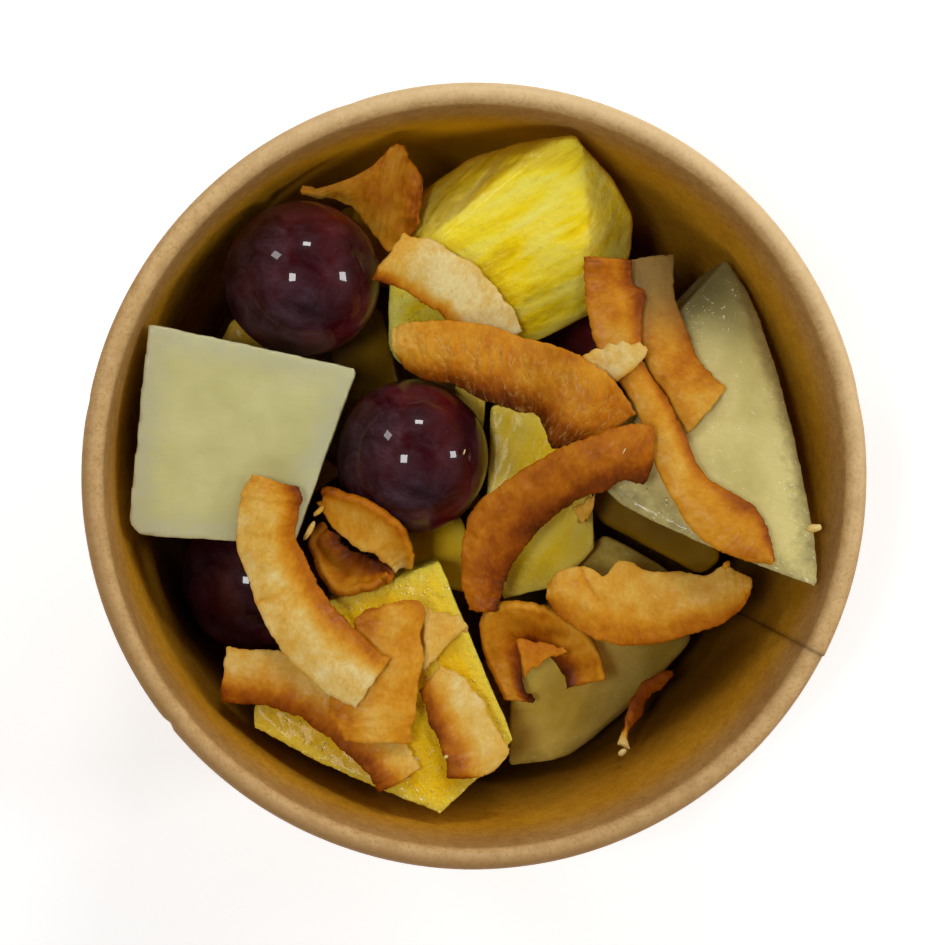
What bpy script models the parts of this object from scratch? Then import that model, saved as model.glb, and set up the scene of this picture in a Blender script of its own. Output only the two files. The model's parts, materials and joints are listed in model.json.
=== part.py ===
"""Fruit salad in a round kraft paper pot: melon and pineapple chunks, dark grapes and toasted coconut chips.

Every length is in millimetres until a mesh is written. The pot stands on z = 0 with its axis on +Z. Plan positions
(u, v) are drawn on the rim plane; at() carries a plan position down to a height along the straight line to APEX, so
that a piece lying deeper in the pot is spread outward by the same share as the taper of a cone over the pot.
"""

import math
import random

import bmesh
import bpy
from mathutils import Vector
from mathutils.bvhtree import BVHTree

MM = 0.001

# --- the paper pot ---
HEIGHT = 70.0  # foot to top of the rolled rim
RIM_RADIUS = 57.5  # outside of the rolled rim
ROLL_RADIUS = 1.6  # radius of the roll itself
TAPER = 0.14  # inward lean of the wall, mm per mm of depth
BOARD = 0.6  # thickness of the paper board
FLOOR_Z = 5.5  # top face of the recessed floor disc
SEAM_AZIMUTH = math.radians(-27.4)  # where the wall board overlaps itself
SEAM_STEP = 0.22  # outward step of the wall at the overlap
SEAM_RUN = math.radians(26.0)  # how far round the step fades out
AROUND = 64  # facets round the pot

# --- how the contents sit ---
APEX = Vector((-26.6, 13.9, HEIGHT + 350.0))
GAP = 0.35  # clear gap between touching pieces
HEAP_TOP = 33.0  # the hidden heap never stands higher than this
WALL_TOP_R = RIM_RADIUS - 2 * ROLL_RADIUS  # inside radius just under the rim
WALL_TOP_Z = HEIGHT - ROLL_RADIUS

# --- toasted coconut chips ---
CHIP_THICK = 1.4
CHIP_STATIONS = 12  # stations along a chip
CHIP_ACROSS = 3  # strips across a chip
CHIP_RAG = 0.3  # unevenness of the cut edges
DRAPE_SLOPE = 0.22  # how fast a chip may bend up over what it rests on

# --- cut fruit ---
CUT_ROUND = 0.9  # rounding of knife-cut edges

random.seed(11)
for old in list(bpy.data.objects):
    bpy.data.objects.remove(old, do_unlink=True)


def material(name, colour, rough, coat=0.0):
    """A Principled material with a base colour, a roughness and, for wet or glossy skins, a clear coat."""
    made = bpy.data.materials.new(name)
    made.use_nodes = True
    shader = made.node_tree.nodes["Principled BSDF"]
    shader.inputs["Base Color"].default_value = (*colour, 1.0)
    shader.inputs["Roughness"].default_value = rough
    shader.inputs["Coat Weight"].default_value = coat
    made.diffuse_color = (*colour, 1.0)
    return made


KRAFT = (0.43, 0.26, 0.11)
MELON = (0.55, 0.55, 0.26)
PINEAPPLE = (0.78, 0.58, 0.05)
GRAPE = (0.055, 0.008, 0.014)
COCONUT = (0.60, 0.33, 0.10)
HEAP = (0.32, 0.22, 0.05)


def tinted(colour, k):
    return tuple(min(1.0, c * k) for c in colour)


def at(u, v, z):
    """The point at height z on the line from APEX through the rim-plane position (u, v)."""
    k = (APEX.z - z) / (APEX.z - HEIGHT)
    return Vector((APEX.x + (u - APEX.x) * k, APEX.y + (v - APEX.y) * k, z))


def wall_radius(z):
    """Inside radius of the pot at height z."""
    return WALL_TOP_R - TAPER * (WALL_TOP_Z - z)


def finish(name, bm, look, smooth=False, sharp_angle=None):
    """Turns a bmesh in millimetres into a placed object in metres, origin at its own middle."""
    bmesh.ops.recalc_face_normals(bm, faces=bm.faces)
    if bm.calc_volume(signed=True) < 0:
        bmesh.ops.reverse_faces(bm, faces=bm.faces)
    lo = Vector([min(v.co[i] for v in bm.verts) for i in range(3)])
    hi = Vector([max(v.co[i] for v in bm.verts) for i in range(3)])
    middle = (lo + hi) / 2 if name != "bowl" else Vector((0, 0, 0))
    for vert in bm.verts:
        vert.co = (vert.co - middle) * MM
    for face in bm.faces:
        face.smooth = smooth
    if sharp_angle is not None:
        for edge in bm.edges:
            if len(edge.link_faces) == 2:
                edge.smooth = edge.calc_face_angle(0.0) < sharp_angle
    mesh = bpy.data.meshes.new(name)
    bm.to_mesh(mesh)
    bm.free()
    mesh.materials.append(look)
    made = bpy.data.objects.new(name, mesh)
    made.location = middle * MM
    bpy.context.scene.collection.objects.link(made)
    placed.append(made)
    return made


placed = []  # every object made so far, lowest first


def ground_tree(objects):
    """A search tree over the given objects, in millimetres of the pot's frame."""
    points, faces = [], []
    for item in objects:
        start = len(points)
        points += [(item.location + v.co) / MM for v in item.data.vertices]
        faces += [[start + i for i in face.vertices] for face in item.data.polygons]
    return BVHTree.FromPolygons(points, faces)


# --- pot ---
def seam_offset(azimuth):
    """Outward shift of the wall: a step at the overlap that fades out round the pot."""
    turned = (azimuth - SEAM_AZIMUTH) % (2 * math.pi)
    return SEAM_STEP * max(0.0, 1.0 - turned / SEAM_RUN)


def pot_profile():
    """(r, z) round the section of the board, starting and ending on the axis: underside, foot, outside, roll, inside."""
    roll_x, roll_z = RIM_RADIUS - ROLL_RADIUS, HEIGHT - ROLL_RADIUS
    out = [(wall_radius(FLOOR_Z - BOARD) - 0.4, FLOOR_Z - BOARD)]
    out += [(wall_radius(0.0) - 0.4, 0.25), (wall_radius(0.0) - 0.15, 0.0)]
    out += [(wall_radius(0.0) + BOARD - 0.2, 0.0), (wall_radius(0.4) + BOARD, 0.4)]
    out += [(wall_radius(34.0) + BOARD, 34.0)]
    for degrees in (-130, -95, -60, -25, 10, 45, 80, 115, 150):
        a = math.radians(degrees)
        out.append((roll_x + ROLL_RADIUS * math.cos(a), roll_z + ROLL_RADIUS * math.sin(a)))
    out += [(wall_radius(WALL_TOP_Z), WALL_TOP_Z), (wall_radius(36.0), 36.0)]
    out += [(wall_radius(FLOOR_Z + 1.2), FLOOR_Z + 1.2), (wall_radius(FLOOR_Z) - 1.2, FLOOR_Z)]
    return out


def build_pot():
    bm = bmesh.new()
    profile = pot_profile()
    azimuths = [SEAM_AZIMUTH + 1e-3 + 2 * math.pi * i / AROUND for i in range(AROUND)]
    azimuths[-1] = SEAM_AZIMUTH + 2 * math.pi - 0.02
    rings = []
    for azimuth in azimuths:
        push = seam_offset(azimuth)
        rings.append([bm.verts.new(((r + push) * math.cos(azimuth), (r + push) * math.sin(azimuth), z)) for r, z in profile])
    under = bm.verts.new((0, 0, FLOOR_Z - BOARD))
    over = bm.verts.new((0, 0, FLOOR_Z))
    for i, ring in enumerate(rings):
        after = rings[(i + 1) % len(rings)]
        bm.faces.new((under, after[0], ring[0]))
        for j in range(len(profile) - 1):
            bm.faces.new((ring[j], after[j], after[j + 1], ring[j + 1]))
        bm.faces.new((over, ring[-1], after[-1]))
    finish("bowl", bm, material("kraft_board", KRAFT, 0.55), smooth=True, sharp_angle=math.radians(50))


# --- cut fruit ---
def hull_of(spots):
    """The convex hull of some points, as a bmesh with no loose vertices."""
    bm = bmesh.new()
    for spot in spots:
        bm.verts.new(spot)
    bmesh.ops.remove_doubles(bm, verts=bm.verts, dist=0.02)
    bmesh.ops.convex_hull(bm, input=bm.verts)
    bmesh.ops.delete(bm, geom=[v for v in bm.verts if not v.link_faces], context="VERTS")
    return bm


def block(name, top, thick, look, shrink=0.9, shift=(0.0, 0.0), rounding=CUT_ROUND, extra=()):
    """A knife-cut chunk: the hull of its top corners, of those corners drawn in and dropped by `thick`, and of extras."""
    corners = [at(*corner) for corner in top]
    middle = sum(corners, Vector()) / len(corners)
    under = []
    for corner in corners:
        spot = middle + (corner - middle) * shrink
        under.append(Vector((spot.x + shift[0], spot.y + shift[1], spot.z - thick)))
    bm = hull_of(corners + under + [at(*spot) for spot in extra])
    bmesh.ops.dissolve_limit(bm, angle_limit=math.radians(7), verts=bm.verts, edges=bm.edges)
    bmesh.ops.remove_doubles(bm, verts=bm.verts, dist=0.4)
    sharp = [e for e in bm.edges if len(e.link_faces) == 2 and e.calc_face_angle(0.0) > math.radians(20)]
    bmesh.ops.bevel(bm, geom=sharp, offset=rounding, segments=1, profile=0.6, affect="EDGES", clamp_overlap=True)
    rounded = [v.co.copy() for v in bm.verts]
    bm.free()
    bm = hull_of(rounded)
    return finish(name, bm, look, smooth=True, sharp_angle=math.radians(35))


def grape(name, u, v, z, radius, look, stem=(0.3, 0.4, -0.85)):
    """A grape: a ball a little longer along its stem axis, with the shallow pit where the stalk was pulled."""
    bm = bmesh.new()
    bmesh.ops.create_uvsphere(bm, u_segments=20, v_segments=11, radius=radius)
    for vert in bm.verts:
        d = vert.co.normalized()
        stretch = 1.0 + 0.03 * abs(d.z) - 0.012 * (1 - abs(d.z))
        pit = 1.1 * math.exp(-((1 - d.z) / 0.02)) if d.z > 0.8 else 0.0
        vert.co = d * (radius * stretch - pit)
    turn = Vector((0, 0, 1)).rotation_difference(Vector(stem).normalized())
    middle = at(u, v, z)
    for vert in bm.verts:
        vert.co = turn @ vert.co + middle
    return finish(name, bm, look, smooth=True)


# --- coconut chips ---
def smooth_path(points, t):
    """Catmull-Rom along the points (tuples of any length), t from 0 to 1."""
    n = len(points) - 1
    place = min(t * n, n - 1e-9)
    i = int(place)
    f = place - i
    p1, p2 = points[i], points[i + 1]
    p0 = points[i - 1] if i > 0 else tuple(2 * a - b for a, b in zip(p1, p2))
    p3 = points[i + 2] if i + 2 <= n else tuple(2 * b - a for a, b in zip(p1, p2))
    return tuple(
        0.5 * (2 * b + (c - a) * f + (2 * a - 5 * b + 4 * c - d) * f * f + (3 * b - a - 3 * c + d) * f**3)
        for a, b, c, d in zip(p0, p1, p2, p3)
    )


def edges_of_arc(stations):
    """Left and right edge points of a strip given by centreline stations (u, v, z, width, roll in degrees)."""
    left, right = [], []
    for i, (u, v, z, width, roll) in enumerate(stations):
        before, after = stations[max(i - 1, 0)], stations[min(i + 1, len(stations) - 1)]
        run = Vector((after[0] - before[0], after[1] - before[1])).normalized()
        side = Vector((-run.y, run.x)) * (width / 2)
        rise = math.sin(math.radians(roll)) * width / 2
        flat = math.cos(math.radians(roll))
        left.append((u + side.x * flat, v + side.y * flat, z + rise))
        right.append((u - side.x * flat, v - side.y * flat, z - rise))
    return left, right


def chip(name, left, right, look, camber=0.8, thick=CHIP_THICK, rag=CHIP_RAG, rests=True):
    """A thin curved chip between two edge paths: bowed across, ragged at the edges, and eased up over what it lies on."""
    dice = random.Random(name)
    n, m = CHIP_STATIONS, CHIP_ACROSS
    rows = []
    for i in range(n):
        t = i / (n - 1)
        a, b = at(*smooth_path(left, t)), at(*smooth_path(right, t))
        across = b - a
        if 0 < i < n - 1:
            a = a - across.normalized() * dice.uniform(-rag, rag)
            b = b + across.normalized() * dice.uniform(-rag, rag)
        rows.append([a.lerp(b, j / m) for j in range(m + 1)])
    normals = []
    for i in range(n):
        along = rows[min(i + 1, n - 1)][1] - rows[max(i - 1, 0)][1]
        normal = (rows[i][m] - rows[i][0]).cross(along)
        normals.append(normal.normalized() if normal.z > 0 or abs(normal.z) < 1e-6 else -normal.normalized())
    for i in range(n):
        for j in range(m + 1):
            s = 2 * j / m - 1
            rows[i][j] = rows[i][j] + normals[i] * camber * (1 - s * s)
    if rests:
        ground = ground_tree([p for p in placed if p.name != "bowl"])
        lift = [0.0] * n
        fine = 4
        for i in range((n - 1) * fine + 1):
            i0 = min(i // fine, n - 2)
            f = i / fine - i0
            for j in range(m * fine + 1):
                j0 = min(j // fine, m - 1)
                g = j / fine - j0
                spot = rows[i0][j0].lerp(rows[i0][j0 + 1], g).lerp(rows[i0 + 1][j0].lerp(rows[i0 + 1][j0 + 1], g), f)
                spot = spot - normals[i0].lerp(normals[i0 + 1], f) * thick
                hit = ground.ray_cast(Vector((spot.x, spot.y, 200.0)), Vector((0, 0, -1)))[0]
                if hit is not None:
                    need = hit.z + GAP - spot.z
                    for k in range(n):
                        if abs(k - i / fine) < 1:
                            lift[k] = max(lift[k], need)
        pitch = [0.0]
        for i in range(1, n):
            pitch.append(pitch[-1] + (rows[i][1] - rows[i - 1][1]).length)
        eased = [max(lift[k] - DRAPE_SLOPE * abs(pitch[k] - pitch[i]) for k in range(n)) for i in range(n)]
        lifts[name] = [round(x, 2) for x in eased]
        for i in range(n):
            for j in range(m + 1):
                rows[i][j].z += eased[i]
    bm = bmesh.new()
    upper = [[bm.verts.new(p) for p in row] for row in rows]
    lower = [[bm.verts.new(p - normals[i] * thick) for p in row] for i, row in enumerate(rows)]
    for i in range(n - 1):
        for j in range(m):
            bm.faces.new((upper[i][j], upper[i + 1][j], upper[i + 1][j + 1], upper[i][j + 1]))
            bm.faces.new((lower[i][j], lower[i][j + 1], lower[i + 1][j + 1], lower[i + 1][j]))
        bm.faces.new((upper[i][0], lower[i][0], lower[i + 1][0], upper[i + 1][0]))
        bm.faces.new((upper[i][m], upper[i + 1][m], lower[i + 1][m], lower[i][m]))
    for i in (0, n - 1):
        for j in range(m):
            bm.faces.new((upper[i][j], upper[i][j + 1], lower[i][j + 1], lower[i][j]))
    bmesh.ops.triangulate(bm, faces=bm.faces)
    return finish(name, bm, look, smooth=True, sharp_angle=math.radians(50))


lifts = {}


def arc_chip(name, stations, look, **more):
    left, right = edges_of_arc(stations)
    return chip(name, left, right, look, **more)


# --- the hidden heap ---
def build_core():
    """Everything under the visible pieces: one solid that fills the pot up to just below their undersides."""
    rings, sectors, reach = 8, 40, 1.15
    tree = ground_tree([p for p in placed if p.name != "bowl"])
    limit = lambda z: wall_radius(z) - 0.8
    spots = {}
    step = 1.6
    cells = int(54 / step)
    for i in range(-cells, cells + 1):
        for j in range(-cells, cells + 1):
            x, y = i * step, j * step
            if math.hypot(x, y) > 52:
                continue
            hit = tree.ray_cast(Vector((x, y, 2.0)), Vector((0, 0, 1)))[0]
            spots[i, j] = hit.z if hit is not None else 99.0
    # low corners of every piece count too, so that none is missed between rays
    lows = [(item.location + v.co) / MM for item in placed if item.name != "bowl" for v in item.data.vertices]

    def under(x, y, radius):
        reach_cells = int(radius / step) + 1
        ci, cj = round(x / step), round(y / step)
        found = 99.0
        for i in range(ci - reach_cells, ci + reach_cells + 1):
            for j in range(cj - reach_cells, cj + reach_cells + 1):
                if (i, j) in spots and math.hypot(i * step - x, j * step - y) <= radius:
                    found = min(found, spots[i, j])
        for spot in lows:
            if abs(spot.x - x) < radius and abs(spot.y - y) < radius:
                found = min(found, spot.z)
        return found

    bm = bmesh.new()
    foot_z = FLOOR_Z + GAP
    rows_top, rows_low = [], []
    for k in range(1, rings + 1):
        share = k / rings
        row_top, row_low = [], []
        for s in range(sectors):
            a = 2 * math.pi * (s + 0.5 * (k % 2)) / sectors
            r_high = share * limit(40.0)
            radius = max(limit(40.0) / rings, 2 * math.pi * r_high / sectors) * reach
            r_mid = min(r_high, limit(30.0) * share)
            z = min(under(r_mid * math.cos(a), r_mid * math.sin(a), radius) - 1.2, HEAP_TOP)
            z = max(z, foot_z + 6.0)
            r = share * limit(z)
            row_top.append(bm.verts.new((r * math.cos(a), r * math.sin(a), z)))
            if k == rings:
                r = limit(foot_z) - 1.2
                row_low.append(bm.verts.new((r * math.cos(a), r * math.sin(a), foot_z)))
        rows_top.append(row_top)
        rows_low.append(row_low)
    centre = bm.verts.new((0, 0, max(min(under(0, 0, 8.0) - 1.2, HEAP_TOP), foot_z + 6.0)))
    base = bm.verts.new((0, 0, foot_z))
    for s in range(sectors):
        t = (s + 1) % sectors
        bm.faces.new((centre, rows_top[0][s], rows_top[0][t]))
        for k in range(rings - 1):
            lo, hi = rows_top[k], rows_top[k + 1]
            if (k + 1) % 2:
                bm.faces.new((lo[s], hi[s], lo[t]))
                bm.faces.new((lo[t], hi[s], hi[t]))
            else:
                bm.faces.new((lo[s], hi[s], hi[t]))
                bm.faces.new((lo[s], hi[t], lo[t]))
        bm.faces.new((rows_top[-1][s], rows_low[-1][s], rows_low[-1][t], rows_top[-1][t]))
        bm.faces.new((base, rows_low[-1][t], rows_low[-1][s]))
    return finish("fruit_core", bm, material("fruit_heap", HEAP, 0.5, 0.3), smooth=True, sharp_angle=math.radians(60))


build_pot()

melon_look = material("melon_flesh", MELON, 0.28, 0.5)
melon_deep = material("melon_flesh_deep", tinted(MELON, 0.6), 0.3, 0.5)
pine_look = material("pineapple_flesh", PINEAPPLE, 0.3, 0.5)
pine_deep = material("pineapple_flesh_deep", tinted(PINEAPPLE, 0.7), 0.3, 0.5)
grape_look = material("grape_skin", GRAPE, 0.18, 0.3)
toast_pale = material("coconut_pale", tinted(COCONUT, 1.3), 0.6)
toast = material("coconut_toasted", COCONUT, 0.6)
toast_dark = material("coconut_dark", tinted(COCONUT, 0.6), 0.6)

# lowest pieces, glimpsed in the gaps
grape("grape_deep", 18.5, 17.8, 31, 11.8, grape_look)
grape("grape_left", -32.4, -14.4, 37, 11.8, grape_look)
block("melon_notch", [(-22.2, 20.1, 44), (-18.7, 21.6, 44), (-15.7, 25.0, 44), (-13.8, 25.0, 43.5), (-14.1, 19.8, 43.2), (-13.6, 16.1, 42), (-11.2, 13.3, 41.5), (-11.5, 10.9, 41), (-17.0, 8.0, 41), (-21.4, 10.9, 43)], 9, melon_deep, shrink=0.85)
block("melon_low", [(-11.8, -9.6, 41), (-10.1, -5.1, 37), (-2.5, -5.1, 41), (0.1, -11.8, 43), (-1.1, -17.1, 43), (-5.7, -16.2, 43), (-11.0, -14.1, 42)], 8, melon_deep, shrink=0.85)
block("pineapple_low", [(-4.0, 13.5, 47), (-1.4, 14.6, 47), (1.1, 14.0, 47), (1.0, 7.9, 47), (0.4, 5.9, 46), (-1.4, 9.7, 47)], 9, pine_deep, shrink=0.85)
block("melon_side", [(15.9, -1.1, 45), (16.8, -5.6, 45), (18.4, -7.0, 45), (23.6, -9.6, 45), (27.7, -12.0, 45), (33.0, -14.7, 45), (36.3, -12.0, 45), (32.4, -3.2, 45), (23.5, 2.4, 45)], 9, melon_deep, shrink=0.9)
block("pineapple_small", [(-35.7, 23.7, 45), (-31.4, 22.7, 45.5), (-30.0, 18.4, 44.5), (-38.2, 18.8, 45)], 7, pine_deep, shrink=0.85)
block("pineapple_middle", [(1.5, 10.9, 50), (11.2, 11.7, 51), (16.5, 4.7, 52), (17.2, -10.2, 51.5), (15.6, -11.9, 50), (10.9, -16.3, 49), (3.3, -18.0, 48), (0.8, -6.0, 50)], 12, pine_look, shrink=0.86)

# upper chunks
block("melon_front", [(18.3, -7.8, 46.0), (22.1, -9.8, 46.5), (27.7, -13.0, 44.5), (29.8, -15.5, 43.5), (31.6, -23.8, 39), (28.6, -27.3, 37.5), (24.7, -31.5, 36), (20.8, -35.0, 36.5), (16.8, -38.5, 37.5), (13.6, -40.8, 39.5), (11.0, -41.8, 41), (4.1, -42.5, 42), (4.1, -35.6, 46), (5.1, -24.5, 48.5), (17.2, -14.0, 49)], 13, melon_look, shrink=0.84, shift=(-0.2, 0.8), extra=[(11.8, -24.4, 50), (19.2, -23.7, 48.5), (16.2, -31.0, 45), (23.6, -19.3, 47)])
block("pineapple_front", [(-5.7, -12.0, 56), (-0.2, -25.0, 57), (5.2, -38.4, 58), (1.0, -43.5, 59.5), (-5.6, -49.3, 60.5), (-15.1, -45.0, 59.5), (-23.4, -41.6, 58), (-33.0, -36.1, 56), (-33.0, -33.2, 56), (-22.0, -17.5, 55), (-12.0, -13.8, 55.5)], 12, pine_look, shrink=0.9, shift=(0.5, 2.2))
grape("grape_back", -25.6, 28.9, 54, 11.9, grape_look, stem=(-0.5, 0.4, -0.7))
grape("grape_middle", -9.8, 3.2, 53, 11.8, grape_look, stem=(0.2, -0.6, -0.7))
block("pineapple_back", [(14.2, 50.7, 65), (6.5, 49.2, 58), (-1.2, 47.0, 55), (-4.1, 44.7, 54), (-8.5, 41.9, 52.5), (-8.8, 35.6, 53), (-13.4, 27.8, 55), (-13.5, 25.3, 54), (-13.4, 18.7, 51), (-12.4, 16.9, 50), (-10.1, 14.9, 49), (-1.4, 16.1, 49.5), (9.4, 19.9, 51), (14.7, 23.3, 54), (15.5, 33.7, 60), (14.4, 41.3, 62.5), (-6.1, 35.2, 60), (8.2, 47.5, 63.8), (20.1, 44.1, 58), (23.1, 38.6, 53.5), (22.7, 32.4, 51), (18.2, 24.7, 50)], 11, pine_look, shrink=0.82, shift=(-2.0, -0.8))
block("melon_right", [(36.3, 32.3, 54), (29.6, 25.0, 55), (23.5, 11.4, 57), (18.5, -1.7, 59), (20.6, -3.9, 59.5), (25.5, -6.7, 61), (34.5, -10.7, 64), (42.1, -13.1, 66.3), (50.0, -16.5, 68.3), (50.4, -13.3, 67.5), (49.2, -5.2, 64.5), (48.1, -0.3, 62.5), (46.7, 6.3, 60), (44.3, 14.5, 57.5), (41.6, 22.8, 55), (39.5, 27.5, 54)], 11, melon_look, shrink=0.9, shift=(-2.5, 0.8))
block("melon_left", [(-48.0, 22.8, 65), (-32.9, 19.4, 63.5), (-17.5, 16.1, 62), (-20.9, 5.7, 61), (-23.3, -0.3, 60.5), (-25.4, -5.9, 60), (-26.9, -9.8, 60), (-35.0, -9.2, 60), (-45.2, -8.6, 60.5), (-49.3, -8.3, 61), (-51.0, -6.1, 61.3), (-50.4, 1.7, 62)], 11, melon_look, shrink=0.93, shift=(1.2, 0.0))

# chips, lowest first
chip("chip_01", [(-25.9, 42.0, 54), (-21.0, 42.7, 55.5), (-16.5, 44.6, 56.5), (-13.8, 46.8, 57), (-12.8, 48.2, 57.5), (-11.6, 47.8, 57.5), (-10.9, 46.1, 57.5), (-9.0, 44.5, 58), (-8.5, 42.8, 58)], [(-25.6, 40.8, 53.5), (-22.7, 40.4, 53.5), (-20.0, 39.7, 53), (-17.7, 38.0, 52.5), (-16.0, 35.7, 52), (-14.5, 33.5, 52), (-12.7, 32.8, 52.5), (-10.6, 34.6, 54), (-8.9, 36.6, 56)], toast, camber=0.6)
chip("chip_10b", [(-21.8, -7.1, 53), (-23.4, -8.4, 53.5), (-23.7, -10.0, 53.5), (-23.3, -11.9, 53.5), (-22.3, -14.1, 53.5), (-20.8, -15.8, 54), (-18.8, -15.8, 54.5), (-16.9, -15.1, 55), (-15.2, -14.2, 55.5), (-13.7, -13.2, 56)], [(-20.5, -8.0, 52), (-20.3, -9.0, 51.5), (-19.5, -9.7, 51.5), (-18.8, -10.2, 51.5), (-17.9, -10.6, 51.5), (-17.1, -10.9, 52), (-16.2, -11.2, 52.5), (-15.3, -11.6, 53), (-14.3, -12.1, 54), (-13.4, -12.6, 55)], toast_dark, camber=-1.2)
chip("chip_10", [(-23.0, -2.2, 58.5), (-22.0, -1.7, 59.5), (-20.1, -2.3, 60), (-17.8, -3.2, 60.5), (-15.8, -3.6, 60.5), (-13.7, -5.1, 60.5), (-12.1, -7.0, 60), (-10.8, -8.6, 59.5), (-10.0, -10.3, 58.5), (-10.0, -11.8, 57.5), (-10.8, -13.0, 57)], [(-23.1, -3.6, 57.5), (-22.4, -5.2, 57), (-21.4, -6.9, 57), (-19.7, -8.5, 57), (-17.9, -9.9, 57), (-16.3, -10.6, 57), (-15.3, -10.7, 57), (-14.3, -11.6, 57), (-13.3, -12.5, 57), (-12.7, -13.2, 56.8), (-12.0, -13.7, 56.8)], toast, camber=-0.5)
arc_chip("chip_11", [(-37.2, -28.3, 57, 8.5, 0), (-29.0, -29.1, 59, 8.8, 0), (-22.9, -32.1, 60, 8.2, 0), (-18.3, -35.5, 60.5, 8.3, 0), (-14.1, -39.6, 61, 8.0, 0), (-11.6, -44.2, 61, 7.4, 0)], toast)
chip("chip_14", [(-5.7, -27.0, 60), (-2.5, -28.8, 60), (0.1, -31.7, 60), (2.1, -35.0, 60.3), (3.8, -38.7, 60.5), (4.1, -40.7, 60.5), (2.1, -42.8, 60.3)], [(-9.0, -30.8, 59.5), (-8.1, -34.0, 59.5), (-6.9, -36.6, 59.7), (-5.8, -38.8, 60), (-4.9, -41.3, 60), (-4.6, -43.6, 60), (-1.4, -43.7, 60)], toast_pale, camber=0.7)
chip("chip_13", [(-8.2, -18.5, 59.5), (-6.3, -19.1, 59), (-2.7, -19.9, 59), (-1.7, -21.2, 58.5)], [(-8.2, -28.1, 61), (-6.9, -27.0, 60.5), (-4.9, -24.7, 60), (-1.9, -21.8, 58.7)], toast_pale, camber=0.4)
chip("chip_12", [(-16.4, -18.7, 62), (-18.5, -20.8, 62), (-18.8, -24.8, 62), (-22.2, -32.7, 61.5), (-21.3, -35.3, 61.7), (-19.9, -38.3, 62)], [(-11.6, -17.6, 62), (-8.2, -18.1, 62), (-8.2, -23.5, 62.3), (-8.5, -28.1, 62.5), (-9.2, -33.4, 62.5), (-9.8, -38.7, 62.5)], toast, camber=1.0)
arc_chip("chip_09", [(-29.5, -0.1, 62.3, 7.3, 0), (-30.3, -3.0, 62.3, 8.8, 0), (-30.8, -8.1, 62.3, 8.8, 0), (-28.8, -15.0, 61.5, 9.6, 0), (-25.2, -21.2, 62, 9.9, 0), (-19.6, -26.7, 63.5, 9.9, 0), (-15.4, -29.7, 64.5, 9.3, 0)], toast_pale, camber=1.0)
chip("chip_15", [(4.2, -32.4, 51), (2.7, -29.7, 51.5), (1.4, -25.7, 52.5), (0.7, -22.7, 53.5), (1.1, -20.0, 54.5), (3.8, -18.7, 55), (7.7, -18.9, 55.5), (11.5, -20.4, 55.5), (14.8, -22.6, 55), (17.1, -26.0, 54.5), (18.2, -29.8, 53.5)], [(8.0, -33.3, 51), (7.0, -31.6, 51), (6.5, -28.9, 50.5), (6.2, -25.9, 50.5), (7.3, -24.8, 50.5), (8.7, -25.1, 50.5), (10.2, -26.0, 50.5), (11.2, -27.1, 50.5), (12.0, -28.3, 50.5), (12.4, -29.5, 51), (12.7, -31.0, 51.5)], toast, camber=-0.5)
chip("chip_16", [(5.2, -23.4, 56), (7.6, -23.6, 56), (10.9, -24.4, 56), (13.0, -25.2, 56)], [(6.7, -29.4, 56), (7.6, -28.3, 56), (10.1, -26.5, 56), (12.7, -25.7, 56)], toast_pale, camber=0.2)
chip("chip_08", [(9.6, -15.1, 55), (11.5, -13.1, 55.5), (15.9, -12.7, 56), (18.1, -14.0, 56.3), (20.2, -11.8, 56.6), (22.4, -12.0, 57), (24.8, -13.3, 57.5), (29.3, -13.5, 58.3), (33.5, -14.1, 59), (36.0, -12.6, 59.4), (38.1, -13.5, 59.8), (40.3, -14.6, 60)], [(9.5, -17.2, 54.5), (10.6, -19.4, 54.6), (12.4, -20.7, 55), (15.3, -22.6, 55.4), (18.3, -24.1, 55.8), (21.2, -24.7, 56.2), (25.1, -24.5, 56.8), (29.1, -23.8, 57.6), (32.8, -22.6, 58.4), (36.0, -21.2, 58.9), (38.7, -19.4, 59.4), (40.2, -17.1, 59.8)], toast_pale, camber=0.8)
chip("chip_07", [(21.3, 31.9, 57.5), (21.7, 27.1, 58), (22.3, 22.8, 58.5), (23.6, 18.7, 59), (25.9, 13.8, 59.5), (28.2, 9.7, 60), (30.2, 6.2, 60.3)], [(28.7, 32.8, 57), (28.5, 28.5, 57.5), (29.8, 24.3, 58.2), (31.1, 19.9, 58.8), (33.1, 16.2, 59.4), (35.0, 14.0, 59.8), (36.2, 12.9, 60)], toast_pale, camber=0.8)
chip("chip_05", [(15.0, 32.2, 60), (15.0, 28.1, 60), (15.6, 23.1, 60.3), (17.3, 18.4, 60.6), (20.0, 13.8, 61), (23.2, 9.4, 62), (25.3, 2.7, 63.5), (28.1, -2.9, 65), (31.5, -8.3, 66), (36.0, -11.0, 66.8), (39.8, -12.2, 67.4), (43.0, -13.0, 67.8)], [(22.4, 31.8, 60), (22.6, 28.5, 60), (24.2, 27.0, 60.2), (23.9, 22.3, 60.3), (24.4, 17.1, 60.8), (27.8, 11.7, 61.5), (30.1, 6.6, 63), (33.4, 0.6, 64.5), (39.2, -3.1, 66.3), (41.6, -4.9, 66.9), (42.9, -8.4, 67.5), (43.6, -11.8, 67.9)], toast, camber=0.7)
chip("chip_06", [(14.7, 17.8, 62.8), (17.6, 19.1, 63), (20.4, 20.0, 63.2), (23.5, 19.6, 63.2), (24.7, 19.3, 63)], [(15.9, 15.6, 62.6), (18.2, 13.9, 62.6), (20.3, 14.0, 62.6), (22.6, 15.9, 62.8), (24.4, 17.8, 62.8)], toast_pale, camber=0.4)
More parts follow.
